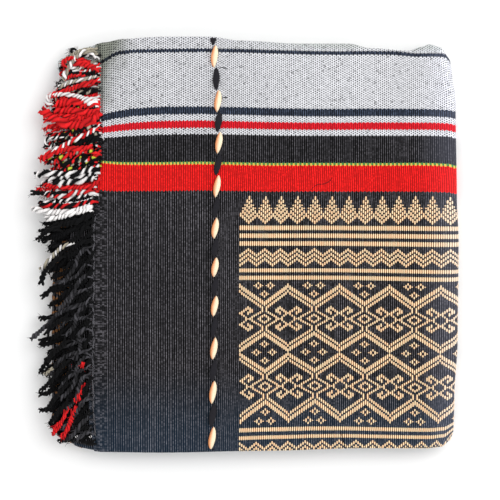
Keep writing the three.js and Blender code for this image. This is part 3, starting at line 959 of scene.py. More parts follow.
def panel_floats(column):
    """All floats of one column of the brocade panel, from one edge to the other."""
    rows = crown_floats(column) + list(BAND_ROWS) + chevron_floats(column)
    rows += diamond_floats(column)
    rows += [mirrored(row, MIRROR_ROW) for row in rows]
    joined = []
    for start, end in sorted(rows):
        if joined and start <= joined[-1][1] + JOIN:
            joined[-1] = (joined[-1][0], max(joined[-1][1], end))
        else:
            joined.append((start, end))
    floats = []
    for start, end in joined:
        parts = max(1, math.ceil((end - start) / LONGEST_FLOAT))
        size = (end - start) / parts
        floats += [(start + i * size, start + (i + 1) * size) for i in range(parts)]
    return floats


def across_of_row(row):
    """Place across the cloth of a row of the brocade."""
    y = MIDDLE_ROW - np.asarray(row, float)
    return y - NEAR_SLIP * fade(y - NEAR_EDGE, NEAR_FADE)


def float_template():
    """One float of the brocade: a blunt grain of yarn, open where it lies on the cloth."""
    bpy.ops.object.select_all(action="DESELECT")
    bpy.ops.mesh.primitive_uv_sphere_add(segments=8, ring_count=5, radius=1)
    grain = bpy.context.active_object
    bpy.ops.object.mode_set(mode="EDIT")
    bpy.ops.mesh.select_all(action="SELECT")
    bpy.ops.transform.rotate(value=math.pi / 2, orient_axis="X", center_override=(0, 0, 0))
    bpy.ops.mesh.bisect(plane_co=(0, 0, -0.02), plane_no=(0, 0, 1), clear_inner=True)
    bpy.ops.object.mode_set(mode="OBJECT")
    mesh = grain.data
    points = np.array([v.co for v in mesh.vertices])
    faces = [tuple(f.vertices) for f in mesh.polygons]
    bpy.data.objects.remove(grain)
    bpy.data.meshes.remove(mesh)
    y = np.clip(points[:, 1], -1, 1)
    width = np.sqrt(np.maximum(0, 1 - y * y))
    blunt = np.where(width > 1e-6, np.maximum(width, 1e-6) ** -0.45, 1.0)
    points[:, 0] *= blunt
    points[:, 2] *= blunt
    points[:, 1] = np.sign(y) * np.abs(y) ** 0.75
    return points, faces


def weave_floats(name, columns, rows_from, rows_to, material):
    """Brocade floats of a stretch of the cloth, each copied from one grain of yarn."""
    shape, faces = float_template()
    spans = []
    for column in columns:
        for start, end in panel_floats(column):
            if end > rows_from and start < rows_to:
                spans.append((column, start, end))
    spans = np.array(spans)
    column = spans[:, 0][:, None]
    middle = across_of_row((spans[:, 1] + spans[:, 2]) / 2)[:, None]
    half = ((spans[:, 2] - spans[:, 1]) / 2)[:, None]
    wobble = 0.5 + 0.5 * np.sin(column * 12.9898 + middle * 4.137)
    wobble = (wobble * 43.7585) % 1.0
    along = rib_place(column) + shape[None, :, 0] * FLOAT_WIDTH * (0.95 + 0.1 * wobble)
    across = middle + shape[None, :, 1] * (half - 0.05) + 0 * along
    along, across = even_place(along, across)
    lift = (shape[None, :, 2] * FLOAT_HEIGHT - 0.05) + 0 * along
    points = cloth_point(along, across, lift)
    points[..., 2] = np.maximum(points[..., 2], PRESSED_HEIGHT * MM)
    count = len(shape)
    all_faces = [face for i in range(len(spans)) for face in later_faces(faces, i * count)]
    piece = add_mesh(name, points.reshape(-1, 3), all_faces)
    side = shape[None, :, 0] + 0 * along
    end = shape[None, :, 1] * half + 0 * along
    tone = wobble + 0 * along
    add_attribute(piece, "float", np.stack([tone, side, end], axis=-1).reshape(-1, 3))
    finish_piece(piece, material, "cloth")


class BrocadeProperties(bpy.types.PropertyGroup):
    cream: colour_setting("Cream", "Light side of the floats", 255, 243, 202)
    # Painted shade: the tan flanks are where the round floats turn away from the light
    tan: colour_setting("Tan", "Darker flanks of the floats", 242, 152, 88)
    # Painted shade: a darker copy of the brocade yarn for floats in the shade of the fringe
    shaded_amber: colour_setting("Amber", "Floats that lie in the shade of the fringe", 150, 102, 60)


def brocade_finish(name, light, flank):
    """Yarn of the brocade, with painted shade on its flanks and rims, a painted sheen near the right fold, and uneven
    from float to float.
    """
    finish = Finish(name)
    tone, side, end = finish.read("float")
    # Painted shade: darker, warmer flanks where the round floats turn away from the light
    distance = finish.function("ABSOLUTE", side)
    share = finish.ease(distance, 0.25, 0.9) * 0.9 + tone * 0.22
    colour = finish.blend(share, linear(light), linear(flank))
    # Painted sheen: paler floats near the right fold
    place = finish.node("ShaderNodeTexCoord").out("Object")
    right = finish.node("ShaderNodeSeparateXYZ", {}, {0: place}).out(0)
    pale = finish.ease(right, 0.184, 0.218) * 0.55
    colour = finish.blend(pale, colour, (1.0, 0.9, 0.76))
    # Painted shade at the rims of the floats
    edge = 1 - finish.ease(distance, 0.75, 1.0) * 0.6
    colour = finish.blend(1.0, colour, finish.vector(edge, edge * edge, edge * edge), "MULTIPLY")
    twist = finish.function("SINE", end * 5.0 + side * 2.5)
    return finish.surface(colour, 0.75, twist, 0.1 * MM, 0.1)


class BLANKET_OT_brocade(bpy.types.Operator):
    """Weave the brocade panel into the top and round the folds."""

    bl_idname = "blanket.brocade"
    bl_label = "Brocade panel"

    def execute(self, context):
        settings = context.scene.blanket_brocade
        material = brocade_finish("cream_brocade_yarn", settings.cream, settings.tan)
        weave_floats("brocade_crowns_and_bands", TOP_COLUMNS, FIRST_ROW, FIELD_ROW - 0.5, material)
        weave_floats("brocade_diamonds", TOP_COLUMNS, FIELD_ROW, LAST_ROW, material)
        # Painted shade: darker copy of the brocade yarn for the floats round the left fold, shaded by the fringe
        shaded = brocade_finish("shaded_brocade_yarn", settings.shaded_amber, settings.shaded_amber)
        weave_floats("brocade_of_left_fold", FOLD_COLUMNS, FIRST_ROW, LAST_ROW, shaded)
        return {"FINISHED"}


# Heading and fringe at each end of the cloth
PARTING = 0.4
HEADING = 2.8
ROOT_DEPTH = 2.0
SIDES = 6
RINGS_PER_TURN = 8
FIBRES = 9

# Yarns of a strand, as shares of its thickness: length of a twist and what is added to it,
# thickness, distance from the middle and what is added at the tip; then how much thinner they
# are at the root and the tip, and how dark the painted shade in the crevice between them is
TWIST = (1.15, 3.6)
PLY_THICK = 0.32
PLY_APART = (0.2, 0.16)
ROOT_TAPER = 0.3
TIP_TAPER = 0.36
CREVICE_SHADE = 0.9
LOWEST_YARN = 0.3
UPPER_DROOP = ((0, 20.5), (20, 20.1), (36, 18.4), (58, 15.8))
LOWER_DROOP = ((0, 14.7), (13, 14.0), (20, 13.9), (40, 10.6))

# Below this place the strands are looser, shorter and thicker: how far they wander, share of
# their length, and thickness
LOOSE_PLACE = 20
LOOSE_FORM = (15, 0.78, 5.2)
FIRM_FORM = (8, 1.0, 4.4)

# Strands in rows: place of the root, slant in degrees, length, distance to the next one
UPPER_STRANDS = (
    (-198, 1, 22, 9), (-185, 9, 36, 9), (-155, 31, 42, 11), (-135, 40, 48, 11),
    (-110, 47, 56, 9), (-80, 52, 60, 7.5), (-30, 51, 58, 6.5), (0, 44, 54, 6),
    (35, 20, 54, 6), (70, 11, 56, 5), (114, 12, 53, 5), (121, 12, 40, 5), (134, 12, 40, 5),
    (142, 11, 51, 5), (150, 11, 52, 5), (186, 6, 36, 5),
    (197, 4, 26, 5),
)
LOWER_STRANDS = (
    (-195, 6, 12, 8.5), (-175, 20, 26, 8.5), (-150, 36, 38, 8.5), (-110, 36, 42, 8.5),
    (-88, 20, 48, 9), (-78, 26, 42, 10), (-60, 36, 38, 10), (10, 34, 38, 8.5),
    (20, 32, 30, 8), (36, 20, 27, 7), (50, 12, 34, 6), (130, 10, 35, 6), (180, 6, 22, 6),
    (202, 3, 8, 6),
)

# Yarns of the fringe, by the place of the root: down to this place, then pairs of yarns.
# The letters are w white, r red, k black, g khaki, s black painted lighter as lit, e edge cord,
# y yellow, and f flecked from several of them.
YARN_BANDS = (
    (185, "wk kw gw rk kg"), (160, "rr kk wk rw kk"), (118, "rr rr kr rf rr"),
    (100, "kf kk wr kf rk"), (86, "rr fk kf rf kk"), (70, "wk kw wk kk wf"),
    (60, "rr rw kk kr"), (50, "ww wk kw"), (-220, "kk kk kk"),
)

# Strands that lie on top: the two yarns, thickness, rise, spread of the root, and places
TOP_STRANDS = (
    ("gw", 5.0, 2.6, 2, ((-153, 194), (-163, 199), (-172, 195), (-179, 187), (-185, 177), (-187, 169))),
    ("gg", 4.4, 1.4, 2, ((-153, 200), (-164, 201), (-176, 197), (-183, 190))),
    ("rr", 5.0, 2.0, 1, ((-160, 188), (-172, 191), (-182, 192), (-187, 187), (-184, 181))),
    ("rr", 6.5, 2.4, 2, ((-150, 180), (-160, 184), (-170, 187), (-177, 188))),
    ("kk", 5.0, 1.0, 2, ((-150, 177), (-166, 177), (-182, 178))),
    ("wg", 4.2, 2.0, 2, ((-150, 175), (-165, 171), (-180, 168), (-192, 163))),
    ("rr", 5.6, 2.6, 2, ((-150, 170), (-169, 165), (-185, 159), (-202, 154))),
    ("gk", 5.0, 0.8, 2, ((-150, 161), (-166, 158), (-184, 160), (-196, 150))),
    ("ww", 4.6, 3.4, 2, (
        (-150, 152), (-162, 151), (-173, 154), (-188, 156), (-202, 154), (-203, 148), (-198, 144),
    )),
    ("ww", 6.5, 3.8, 1, ((-152, 149), (-160, 148), (-167, 151))),
    ("rr", 8.0, 2.2, 2, ((-150, 147), (-165, 148), (-181, 149), (-195, 146))),
    ("rr", 7.0, 1.4, 2, ((-150, 139), (-165, 138), (-181, 140), (-196, 139))),
    ("rr", 9.0, 3.0, 2, ((-150, 138), (-157, 130), (-175, 124.5), (-191, 129), (-203, 136), (-210, 141))),
    ("fk", 6.0, 1.6, 2, ((-149, 126), (-163, 122), (-180, 117), (-192, 110))),
    ("kf", 5.5, 1.2, 2, ((-149, 119), (-163, 114), (-178, 111), (-190, 117))),
    ("kk", 5.5, 1.6, 2, ((-149, 113), (-160, 112), (-176, 104))),
    ("wr", 5.0, 3.6, 2, ((-149, 124), (-161, 117), (-176, 110), (-191, 102), (-206, 95))),
    ("kw", 3.2, 1.6, 1, ((-186, 114), (-196, 112), (-203, 112), (-205, 106), (-200, 103), (-196, 107))),
    ("rr", 6.4, 3.0, 2, ((-157, 103), (-170, 101.5), (-184, 101), (-198, 97), (-211, 90))),
    ("fr", 5.6, 2.0, 2, ((-149, 97), (-168, 99), (-185, 94), (-198, 86))),
    ("fk", 5.6, 2.4, 2, ((-149, 92), (-165, 90), (-181, 88), (-196, 83))),
    ("kf", 5.4, 1.6, 2, ((-149, 86), (-168, 82), (-190, 80))),
    ("wk", 6.4, 3.2, 2, ((-150, 83), (-165, 79), (-181, 76), (-200, 77), (-216, 75))),
    ("kw", 5.6, 2.4, 2, ((-150, 79), (-168, 74), (-186, 73), (-202, 70))),
    ("wk", 7.0, 3.0, 2, ((-152, 73), (-170, 69), (-188, 67), (-197, 66))),
    ("rr", 5.0, 3.8, 1, ((-149, 72), (-154, 67), (-161, 63), (-182, 62.5), (-208, 65))),
    ("kk", 5.2, 1.8, 1, ((-182, 58), (-198, 56), (-211, 57), (-220, 57.5))),
    ("rw", 6.0, 2.8, 2, ((-151, 57), (-170, 58), (-190, 54), (-208, 57))),
    ("kr", 5.6, 2.4, 2, ((-152, 50), (-176, 45), (-195, 44), (-211, 45))),
    ("ww", 6.5, 3.2, 2, ((-158, 46), (-176, 39), (-198, 38), (-219, 41))),
    ("ww", 5.6, 2.4, 2, ((-157, 41), (-176, 37), (-190, 33), (-205, 31))),
    ("kk", 7.0, 2.6, 2, ((-156, 36), (-175, 28), (-190, 25), (-204, 20), (-211, 17))),
    ("kk", 5.6, 2.2, 4, ((-158, 25), (-166, 22), (-176, 10), (-190, 4), (-200, 6))),
    ("gw", 4.6, 2.0, 1, ((-176, 8), (-188, 3), (-198, -7), (-210, -20))),
    ("ss", 4.7, 2.8, 4, ((-158, 0), (-165, 1), (-172, -7), (-176, -18), (-188, -34))),
    ("ss", 4.7, 3.0, 4, ((-158, -24), (-166, -27), (-172, -33), (-177, -43), (-193, -62))),
    ("ss", 4.9, 2.4, 4, ((-158, -51), (-166, -54), (-180, -58), (-192, -64), (-200, -72), (-220, -90))),
    ("ss", 4.7, 3.0, 4, ((-158, -53), (-166, -57), (-173, -64), (-176, -76), (-184, -86))),
    ("ss", 4.7, 2.8, 4, ((-158, -77), (-166, -79), (-171, -86), (-170, -99), (-176, -110))),
    ("ss", 4.7, 2.6, 4, ((-158, -102), (-166, -102), (-178, -104), (-189, -110), (-203, -128))),
    ("ss", 4.7, 3.0, 4, ((-158, -104), (-166, -108), (-173, -118), (-176, -134), (-190, -150))),
    ("ss", 4.7, 2.8, 4, ((-158, -126), (-166, -127), (-170, -134), (-174, -148), (-184, -160))),
    ("rr", 4.4, 2.0, 1, ((-164, -133), (-168, -143), (-174, -153))),
    ("rr", 3.4, 3.4, 2, ((-166, -136), (-171, -144), (-176, -152))),
    ("ss", 4.7, 2.4, 4, ((-158, -146), (-167, -152), (-176, -166), (-188, -180))),
    ("rr", 3.8, 2.2, 1, ((-181, -157), (-186, -167), (-191, -177), (-198, -184))),
    ("rr", 3.0, 3.2, 2, ((-184, -160), (-188, -170), (-195, -177), (-197, -186))),
    ("rr", 4.4, 2.2, 1, ((-174, -156), (-178, -168), (-183, -180), (-190, -188))),
    ("rr", 3.0, 3.6, 3, ((-176, -160), (-181, -172), (-185, -184), (-187, -190))),
    ("ss", 4.9, 3.0, 4, ((-158, -166), (-167, -172), (-176, -184), (-186, -192))),
    ("ss", 4.9, 3.0, 4, ((-157, -180), (-166, -184), (-176, -192))),
    ("ss", 3.8, 2.2, 3, ((-158, -13), (-165, -15), (-174, -26), (-186, -31), (-196, -33))),
    ("ss", 3.8, 2.4, 3, ((-158, -40), (-166, -40), (-177, -46), (-184, -58))),
    ("ss", 3.8, 2.0, 3, ((-158, -66), (-167, -68), (-182, -70), (-190, -78))),
    ("ss", 3.8, 2.2, 3, ((-158, -91), (-168, -90), (-180, -95), (-194, -98))),
    ("ss", 3.8, 2.2, 3, ((-158, -117), (-166, -119), (-182, -128), (-192, -141))),
    ("gg", 3.4, 2.6, 1, ((-197, -118), (-202, -122), (-206, -125))),
    ("kk", 5.6, 4.2, 3, ((-186, -4), (-198, -14), (-206, -24), (-209, -35))),
    ("kk", 5.0, 4.2, 3, ((-188, 22), (-200, 20), (-208, 14), (-213, 9))),
    ("kk", 5.4, 4.0, 3, ((-180, -66), (-192, -72), (-200, -78), (-204, -86))),
    ("kk", 5.4, 4.0, 3, ((-182, -88), (-190, -98), (-198, -104), (-204, -112))),
    ("kk", 5.0, 4.0, 3, ((-182, -108), (-192, -122), (-202, -134), (-210, -142))),
    ("kk", 5.0, 4.0, 3, ((-180, -130), (-190, -142), (-198, -152), (-204, -162))),
    ("kk", 5.0, 4.0, 3, ((-180, -150), (-190, -160), (-196, -168), (-200, -174))),
    ("ww", 2.2, 4.2, 1, ((-174, -186), (-173, -188))),
    ("ww", 2.2, 4.2, 1, ((-160, -186), (-159, -188))),
    ("rr", 4.2, 4.0, 1, ((-166.5, -112), (-168, -118))),
)


# Thin cord along the edge of the top layer, beside the roots
EDGE_CORD = (
    (-154.5, 34), (-156.5, 20), (-156, 6), (-157.5, -2), (-156, -14), (-157, -27), (-156, -40),
    (-157.5, -53), (-156.5, -66), (-157.5, -78), (-156.5, -91), (-157.5, -104), (-157, -118),
    (-157.5, -130), (-156.5, -146), (-157, -160), (-155.5, -175), (-155, -186),
)
WHITE_CORD = ((-149.5, 131), (-150.8, 124), (-150, 117), (-146, 110))


def smooth_line(places, step):
    """Even points on a smooth curve through a few places."""
    places = np.array(places, float)
    before = 2 * places[0] - places[1]
    after = 2 * places[-1] - places[-2]
    knots = np.concatenate([[before], places, [after]])
    share = np.linspace(0, 1, 12, endpoint=False)[:, None]
    found = []
    for a, b, c, d in zip(knots, knots[1:], knots[2:], knots[3:]):
        bend = (2 * a - 5 * b + 4 * c - d) * share ** 2 + (3 * b - a - 3 * c + d) * share ** 3
        found.append(b + ((c - a) * share + bend) / 2)
    found = np.concatenate([*found, places[-1:]])
    run = np.concatenate([[0], np.cumsum(np.linalg.norm(np.diff(found, axis=0), axis=1))])
    even = np.linspace(0, run[-1], max(6, int(run[-1] / step)))
    return np.stack([np.interp(even, run, found[:, i]) for i in range(3)], axis=-1), even


def chance(number):
    """A number from nothing to one that looks random."""
    return (math.sin(number * 12.9898) * 43758.5453) % 1.0


def yarn_pair(letters, places, thickness, spread, number, palette):
    """Two yarns twisted into a strand: points, faces, colours and places on the yarn."""
    pitch = TWIST[0] * thickness + TWIST[1]
    line, run = smooth_line(places, pitch / RINGS_PER_TURN)
    length = run[-1]
    ahead = np.gradient(line, axis=0)
    ahead /= np.linalg.norm(ahead, axis=1)[:, None]
    side = np.cross(ahead, (0.0, 0.0, 1.0))
    side /= np.linalg.norm(side, axis=1)[:, None]
    up = np.cross(side, ahead)
    root = fade(run, 9.0)
    tip = fade(length - run, 7.0)
    swell = 1 + 0.1 * np.sin(run * 0.61 + number * 1.7) + 0.07 * np.sin(run * 1.37 + number)
    knot = 0.35 * np.exp(-(((length - run - 5.5) / 2.4) ** 2)) * (number % 3 == 0)
    angle = np.linspace(0, 2 * math.pi, SIDES, endpoint=False)[None, :]
    made = []
    for ply, letter in enumerate(letters):
        turn = 2 * math.pi * run / pitch + ply * math.pi + number + 1.5 * np.sin(run * 0.23 + number)
        apart = thickness * (PLY_APART[0] + PLY_APART[1] * tip) * (1 - root) * swell
        way = 1 if ply == 0 else -1
        middle = line + side * (apart * np.cos(turn))[:, None] + up * (apart * np.sin(turn))[:, None]
        middle = middle + side * (way * spread * root ** 2)[:, None]
        thick = thickness * PLY_THICK * swell * (1 - ROOT_TAPER * root)
        thick = thick * (1 - TIP_TAPER * tip ** 2 + knot)
        ring = np.cos(angle)[..., None] * side[:, None, :] + np.sin(angle)[..., None] * up[:, None, :]
        points = middle[:, None, :] + ring * thick[:, None, None]
        faces = tube_faces(len(run), SIDES)
        colours = np.repeat(yarn_colours(letter, run, number + ply, palette)[:, None, :], SIDES, 1)
        # Painted shade in the crevice where the two yarns meet
        crevice_shade = np.clip(0.25 - 0.75 * np.cos(angle - turn[:, None]), 0, 1) * (1 - root[:, None])
        colours = colours * (1 - CREVICE_SHADE * crevice_shade)[..., None]
        marks = yarn_marks(angle, run[:, None])
        made.append((points.reshape(-1, 3), faces, colours.reshape(-1, 3), marks))
    return made


def yarn_colours(letter, run, number, palette):
    """Colour along one yarn: plain with its own tone, with painted highlights and shade along the lit black and red
    yarns, or flecked from many colours.
    """
    tone = 0.82 + 0.3 * chance(number)
    # Painted highlights along the lit black yarn, and painted light at its root
    if letter == "s":
        tone = tone * (0.12 + 0.64 * np.abs(np.sin(run * 0.2 + number * 2.3) * np.sin(run * 0.09 + number)))
        tone = tone + 0.38 * np.exp(-run / 7)
        return np.array(palette[letter])[None, :] * tone[:, None]
    # Painted shade and highlights along the red yarn
    if letter == "r":
        tone = tone * (0.62 + 0.42 * np.abs(np.sin(run * 0.17 + number * 1.3)))
        return np.array(palette[letter])[None, :] * tone[:, None]
    if letter != "f":
        return np.tile(np.array(palette[letter]) * tone, (len(run), 1))
    order = "kykrwkgkrk"
    picks = [palette[order[int((r + number * 3) / 3.1) % len(order)]] for r in run]
    return np.array(picks) * tone


def strand_rows(end, ply, table, droop):
    """Strands of one end in even rows: letters, thickness, rise, spread and places."""
    made = []
    place = table[-1][0]
    while place >= table[0][0]:
        number = len(made)
        wander, shorter, thickness = LOOSE_FORM if place < LOOSE_PLACE else FIRM_FORM
        slant = math.radians(float(look_up(table, place, 1)) + wander * math.sin(4.3 * number))
        length = float(look_up(table, place, 2)) * (1 + 0.012 * wander * math.sin(2.4 * number))
        length *= shorter
        on_top = number % 2 == 1
        root = ply_height(ply) + on_top * (LEVEL + 2.2)
        inset = PARTING if on_top else PARTING + HEADING - ROOT_DEPTH
        start, _ = settle_plan(np.array(end - inset), np.array(float(place)))
        letters = next(row[1] for row in YARN_BANDS if place > row[0] or row[0] == -220).split()
        places = []
        for share in (0, 0.12, 0.35, 0.6, 0.8, 1.0):
            bend = 3.4 * math.sin(1.7 * number) * math.sin(math.pi * share)
            bend += 2.0 * math.sin(2.9 * number + 7 * share) * share
            x = -math.cos(slant) * length * share - math.sin(slant) * bend
            y = place - math.sin(slant) * length * share + math.cos(slant) * bend
            eased = float(fade(-x, 16)) if on_top else float(share == 0)
            height = float(look_up(droop, -x)) * (1 - eased) + root * eased
            places.append((float(start) + x, y, height + 0.5 * math.sin(number * 2.1 + 5 * share)))
        made.append((letters[number % len(letters)], thickness, 2.0, number, places))
        place -= 0.8 * float(look_up(table, place, 3))
    return made


def top_strand_rows():
    """Strands that lie on top, from their tables: they rest on the strands below them."""
    made = []
    for number, (letters, thickness, rise, spread, places) in enumerate(TOP_STRANDS):
        start = places[0][0]
        shown = []
        for i, (x, y) in enumerate(places):
            height = float(look_up(UPPER_DROOP, start - x)) + rise
            eased = float(fade(start - x, 18)) * (start > -162)
            height += eased * max(0, CLOTH_TOP + 1.4 - height)
            shown.append((x, y, height + 0.5 * math.sin(number * 2.3 + i)))
        made.append((letters, thickness, spread, number, shown))
    return made


def edge_cord_rows():
    """Thin cords along the edge of the top layer, as short straight stretches."""
    made = []
    for letters, thickness, cord in (("ee", 1.9, EDGE_CORD), ("ww", 1.5, WHITE_CORD)):
        for start, end in zip(cord, cord[1:]):
            shown = [(x, y, CLOTH_TOP + 0.2) for x, y in (start, end)]
            made.append((letters, thickness, 0, len(TOP_STRANDS) + len(made), shown))
    return made


def fibre_tufts(strands, palette):
    """Loose fibres of the strands, most of them at the tips."""
    made = []
    for letters, thickness, _, number, places in strands:
        if thickness < 2.5:
            continue
        line, _ = smooth_line(places, 2.0)
        ahead = np.gradient(line, axis=0)
        ahead /= np.linalg.norm(ahead, axis=1)[:, None]
        for i in range(FIBRES):
            seed = number * 31.7 + i * 3.3
            at = int((1 - 0.8 * chance(seed) ** 2) * (len(line) - 1))
            turn = 2 * math.pi * chance(seed + 0.7)
            side = np.cross(ahead[at], (0.0, 0.0, 1.0))
            side /= np.linalg.norm(side)
            out = side * math.cos(turn) + np.array((0.0, 0.0, 0.7)) * math.sin(turn)
            length = 2.5 + 4.5 * chance(seed + 1.9)
            start = line[at] + out * thickness * 0.3
            middle = start + (ahead[at] * 0.8 + out * 0.5) * length * 0.5
            tip = middle + (ahead[at] * 0.7 + out * (1.6 * chance(seed + 2.6) - 0.4)) * length * 0.5
            letter = letters[i % 2].replace("f", "k")
            made.append((letter, np.stack([start, middle, tip])))
    points, faces, colours, marks = [], [], [], []
    hair = [face[::-1] for face in tube_faces(3, 3)]
    for letter, line in made:
        faces += later_faces(hair, len(points))
        for ring, thick in enumerate((0.34, 0.3, 0.14)):
            for corner in range(3):
                angle = 2 * math.pi * corner / 3
                points.append(line[ring] + np.array((0, math.cos(angle), math.sin(angle))) * thick)
                colours.append(palette[letter])
                marks.append((math.cos(angle), math.sin(angle), float(ring)))
    points, colours, marks = [np.reshape(part, (-1, 3)) for part in (points, colours, marks)]
    return points, faces, colours, marks


def on_stack(points):
    """Points of the stack's own plan and height, where the uneven stack has them, in metres."""
    share = height_share(points[:, 0], points[:, 1])
    plan = points[:, :2] * MM + np.array(stack_shift())
    height = np.maximum(points[:, 2] * share, LOWEST_YARN) * MM
    return np.concatenate([plan, height[:, None]], axis=1)


def add_strands(name, strands, palette):
    """One piece from many twisted strands."""
    points, faces, colours, marks = [], [], [], []
    count = 0
    parts = []
    for letters, thickness, spread, number, places in strands:
        parts += yarn_pair(letters, places, thickness, spread, number, palette)
    parts.append(fibre_tufts(strands, palette))
    for part, rings, colour, mark in parts:
        points.append(part)
        faces += later_faces(rings, count)
        colours.append(colour)
        marks.append(mark)
        count += len(part)
    piece = add_mesh(name, on_stack(np.concatenate(points)), faces)
    add_attribute(piece, "yarn_colour", np.concatenate(colours))
    add_attribute(piece, "yarn_place", np.concatenate(marks))
    return piece


class FringeProperties(bpy.types.PropertyGroup):
    white: colour_setting("White yarn", "White yarn of the fringe", 248, 245, 244)
    red: colour_setting("Red yarn", "Red yarn of the fringe", 238, 36, 40)
    black: colour_setting("Black yarn", "Black yarn of the fringe", 11, 11, 13)
    # Painted light: black yarn painted lighter where it lies on top in the light, with painted highlights
    lit_black: colour_setting("Lit black yarn", "Lighter black yarn that lies on top", 84, 83, 88)
    cord: colour_setting("Edge cord", "Thin cord along the edge beside the roots", 104, 103, 108)
    khaki: colour_setting("Khaki yarn", "Greyish yarn of the fringe", 176, 168, 150)
    yellow: colour_setting("Yellow fleck", "Yellow flecks in the mixed yarn", 214, 222, 70)


def fringe_finish():
    """Twisted wool of the fringe, with its fibres along the yarn."""
    finish = Finish("twisted_fringe_wool")
    colour = finish.node("ShaderNodeAttribute", {"attribute_name": "yarn_colour"}).out("Color")
    across, up, run = finish.read("yarn_place")
    phase = run * 0.9
    cos, sin = finish.function("COSINE", phase), finish.function("SINE", phase)
    place = finish.vector(across * cos - up * sin, across * sin + up * cos, run * 0.22)
    fibre = finish.noise(place, 3.2, 3.0)
    tone = 0.55 + fibre * 0.9
    picked = finish.toned(colour, tone)
    return finish.surface(picked, 0.85, fibre, 0.5 * MM, 0.02)


def add_heading(name, end, ply, facing):
    """Narrow heading of the cloth that carries the roots of the strands."""
    inner = end - PARTING
    run = end if facing > 0 else RUN_OF_LOWER_END
    stations = straight(inner, inner - HEADING, ply_height(ply), facing, 1.3, 0)
    path = np.array([(x, h, o, f, run - facing * s) for x, h, o, f, s in stations])
    piece = closed_sheet(name, path)
    face_outwards(piece)
    return piece


class BLANKET_OT_fringe(bpy.types.Operator):
    """Twist the warp ends into strands at both ends of the cloth."""

    bl_idname = "blanket.fringe"
    bl_label = "Fringe"

    def execute(self, context):
        settings = context.scene.blanket_fringe
        palette = {
            "w": linear(settings.white), "r": linear(settings.red), "k": linear(settings.black),
            "g": linear(settings.khaki), "y": linear(settings.yellow),
            "s": linear(settings.lit_black), "e": linear(settings.cord),
        }
        wool = fringe_finish()
        weave = bpy.data.materials["ribbed_blanket_weave"]
        ends = (
            ("upper", UPPER_END, 3, 1.0, UPPER_STRANDS, UPPER_DROOP, "fringe_upper_end"),
            ("lower", LOWER_END, 2, -1.0, LOWER_STRANDS, LOWER_DROOP, "fringe_lower_end"),
        )
        for name, end, ply, facing, table, droop, node in ends:
            heading = add_heading(f"{name}_heading", end, ply, facing)
            strands = strand_rows(end, ply, table, droop)
            piece = add_strands(f"{name}_fringe_strands", strands, palette)
            finish_piece(heading, weave, f"{name}_fringe", node)
            finish_piece(piece, wool, f"{name}_fringe", node)
        strands = top_strand_rows() + edge_cord_rows()
        piece = add_strands("upper_fringe_top_strands", strands, palette)
        finish_piece(piece, wool, "upper_fringe", "fringe_upper_end")
        return {"FINISHED"}


# Two thick yarns twined across the cloth, seen as a line of spindles
CREAM_CRESTS = (236, 193.5, 148.5, 107.8, 63.5, 21.5, -17.3, -55.5, -98.5, -141.8, -188.5, -231)
YARN_FAR = 210.6
YARN_NEAR = -200.2
YARN_LINE = (
    (-202, -38), (-142, -37), (-98, -36), (-37, -35), (22, -34.8), (64, -33), (108, -31),
    (149, -32), (194, -35.5), (213, -36),
)
YARN_SWAY = 1.2

# Width and height of a thick yarn: at its thinnest, more where it shows, and more where it goes
# under; then the height of its middle where it goes under and where it shows
YARN_WIDTH = (0.4, 6.4, 0.5)
YARN_HEIGHT = (0.6, 2.4, -0.1)
YARN_SINK = -0.35
YARN_RISE = 2.2
YARN_SIDES = 14
YARN_STEPS = 44


class YarnProperties(bpy.types.PropertyGroup):
    cream: colour_setting("Cream yarn", "Light yarn of the twined line", 255, 236, 203)
    # Painted shade: the peach flank is the shaded side of the cream yarn
    shaded_peach: colour_setting("Peach flank", "Warmer flank of the light yarn", 236, 154, 100)
    black: colour_setting("Black yarn", "Dark yarn of the twined line", 34, 33, 38)


def twining_turn(y):
    """How far the twining has turned at a place down its line."""
    crests = np.array(CREAM_CRESTS)
    return 2 * math.pi * np.interp(-y, -crests, np.arange(len(crests)))


def twined_yarn(name, lag):
    """One of the two yarns, thick where it shows and thin where it goes under."""
    y = np.linspace(YARN_FAR, YARN_NEAR, YARN_STEPS * (len(CREAM_CRESTS) - 2))
    turn = twining_turn(y) + lag
    lift = np.cos(turn)
    shown = np.clip(lift, 0, 1) ** 0.6
    hidden = np.clip(-lift * 3, 0, 1)
    width, height = [
        thin + more * shown + under * hidden for thin, more, under in (YARN_WIDTH, YARN_HEIGHT)
    ]
    rise = YARN_SINK + (YARN_RISE - YARN_SINK) * shown
    x = look_up(YARN_LINE, y) - YARN_SWAY * np.sin(turn)
    angle = np.linspace(0, 2 * math.pi, YARN_SIDES, endpoint=False)[None, :]
    across = width[:, None] / 2 * np.cos(angle)
    up = height[:, None] / 2 * np.sin(angle)
    even_x = x[:, None] + across
    even_y = y[:, None] + 0 * across
    points = cloth_point(even_x, even_y, rise[:, None] + up)
    faces = [face[::-1] for face in tube_faces(len(y), YARN_SIDES)]
    piece = add_mesh(name, points.reshape(-1, 3), faces)
    add_attribute(piece, "yarn_place", yarn_marks(angle, even_y))
    face_outwards(piece)
    return piece


def thick_yarn_finish(name, light, flank):
    """Soft thick yarn with fibres along it, with warmer painted shade on its left flank, away from the light."""
    finish = Finish(name)
    across, up, run = finish.read("yarn_place")
    fibre = finish.noise(finish.vector(across * 2.2, up * 2.2, run * 0.12), 2.6, 3.0)
    # Painted shade: the left flank is away from the light, which comes from the right
    share = finish.ease(across * -1.0, -0.35, 0.85)
    colour = finish.blend(share, linear(light), linear(flank))
    tone = 0.72 + fibre * 0.56
    picked = finish.toned(colour, tone)
    return finish.surface(picked, 0.8, fibre, 0.45 * MM, 0.03)


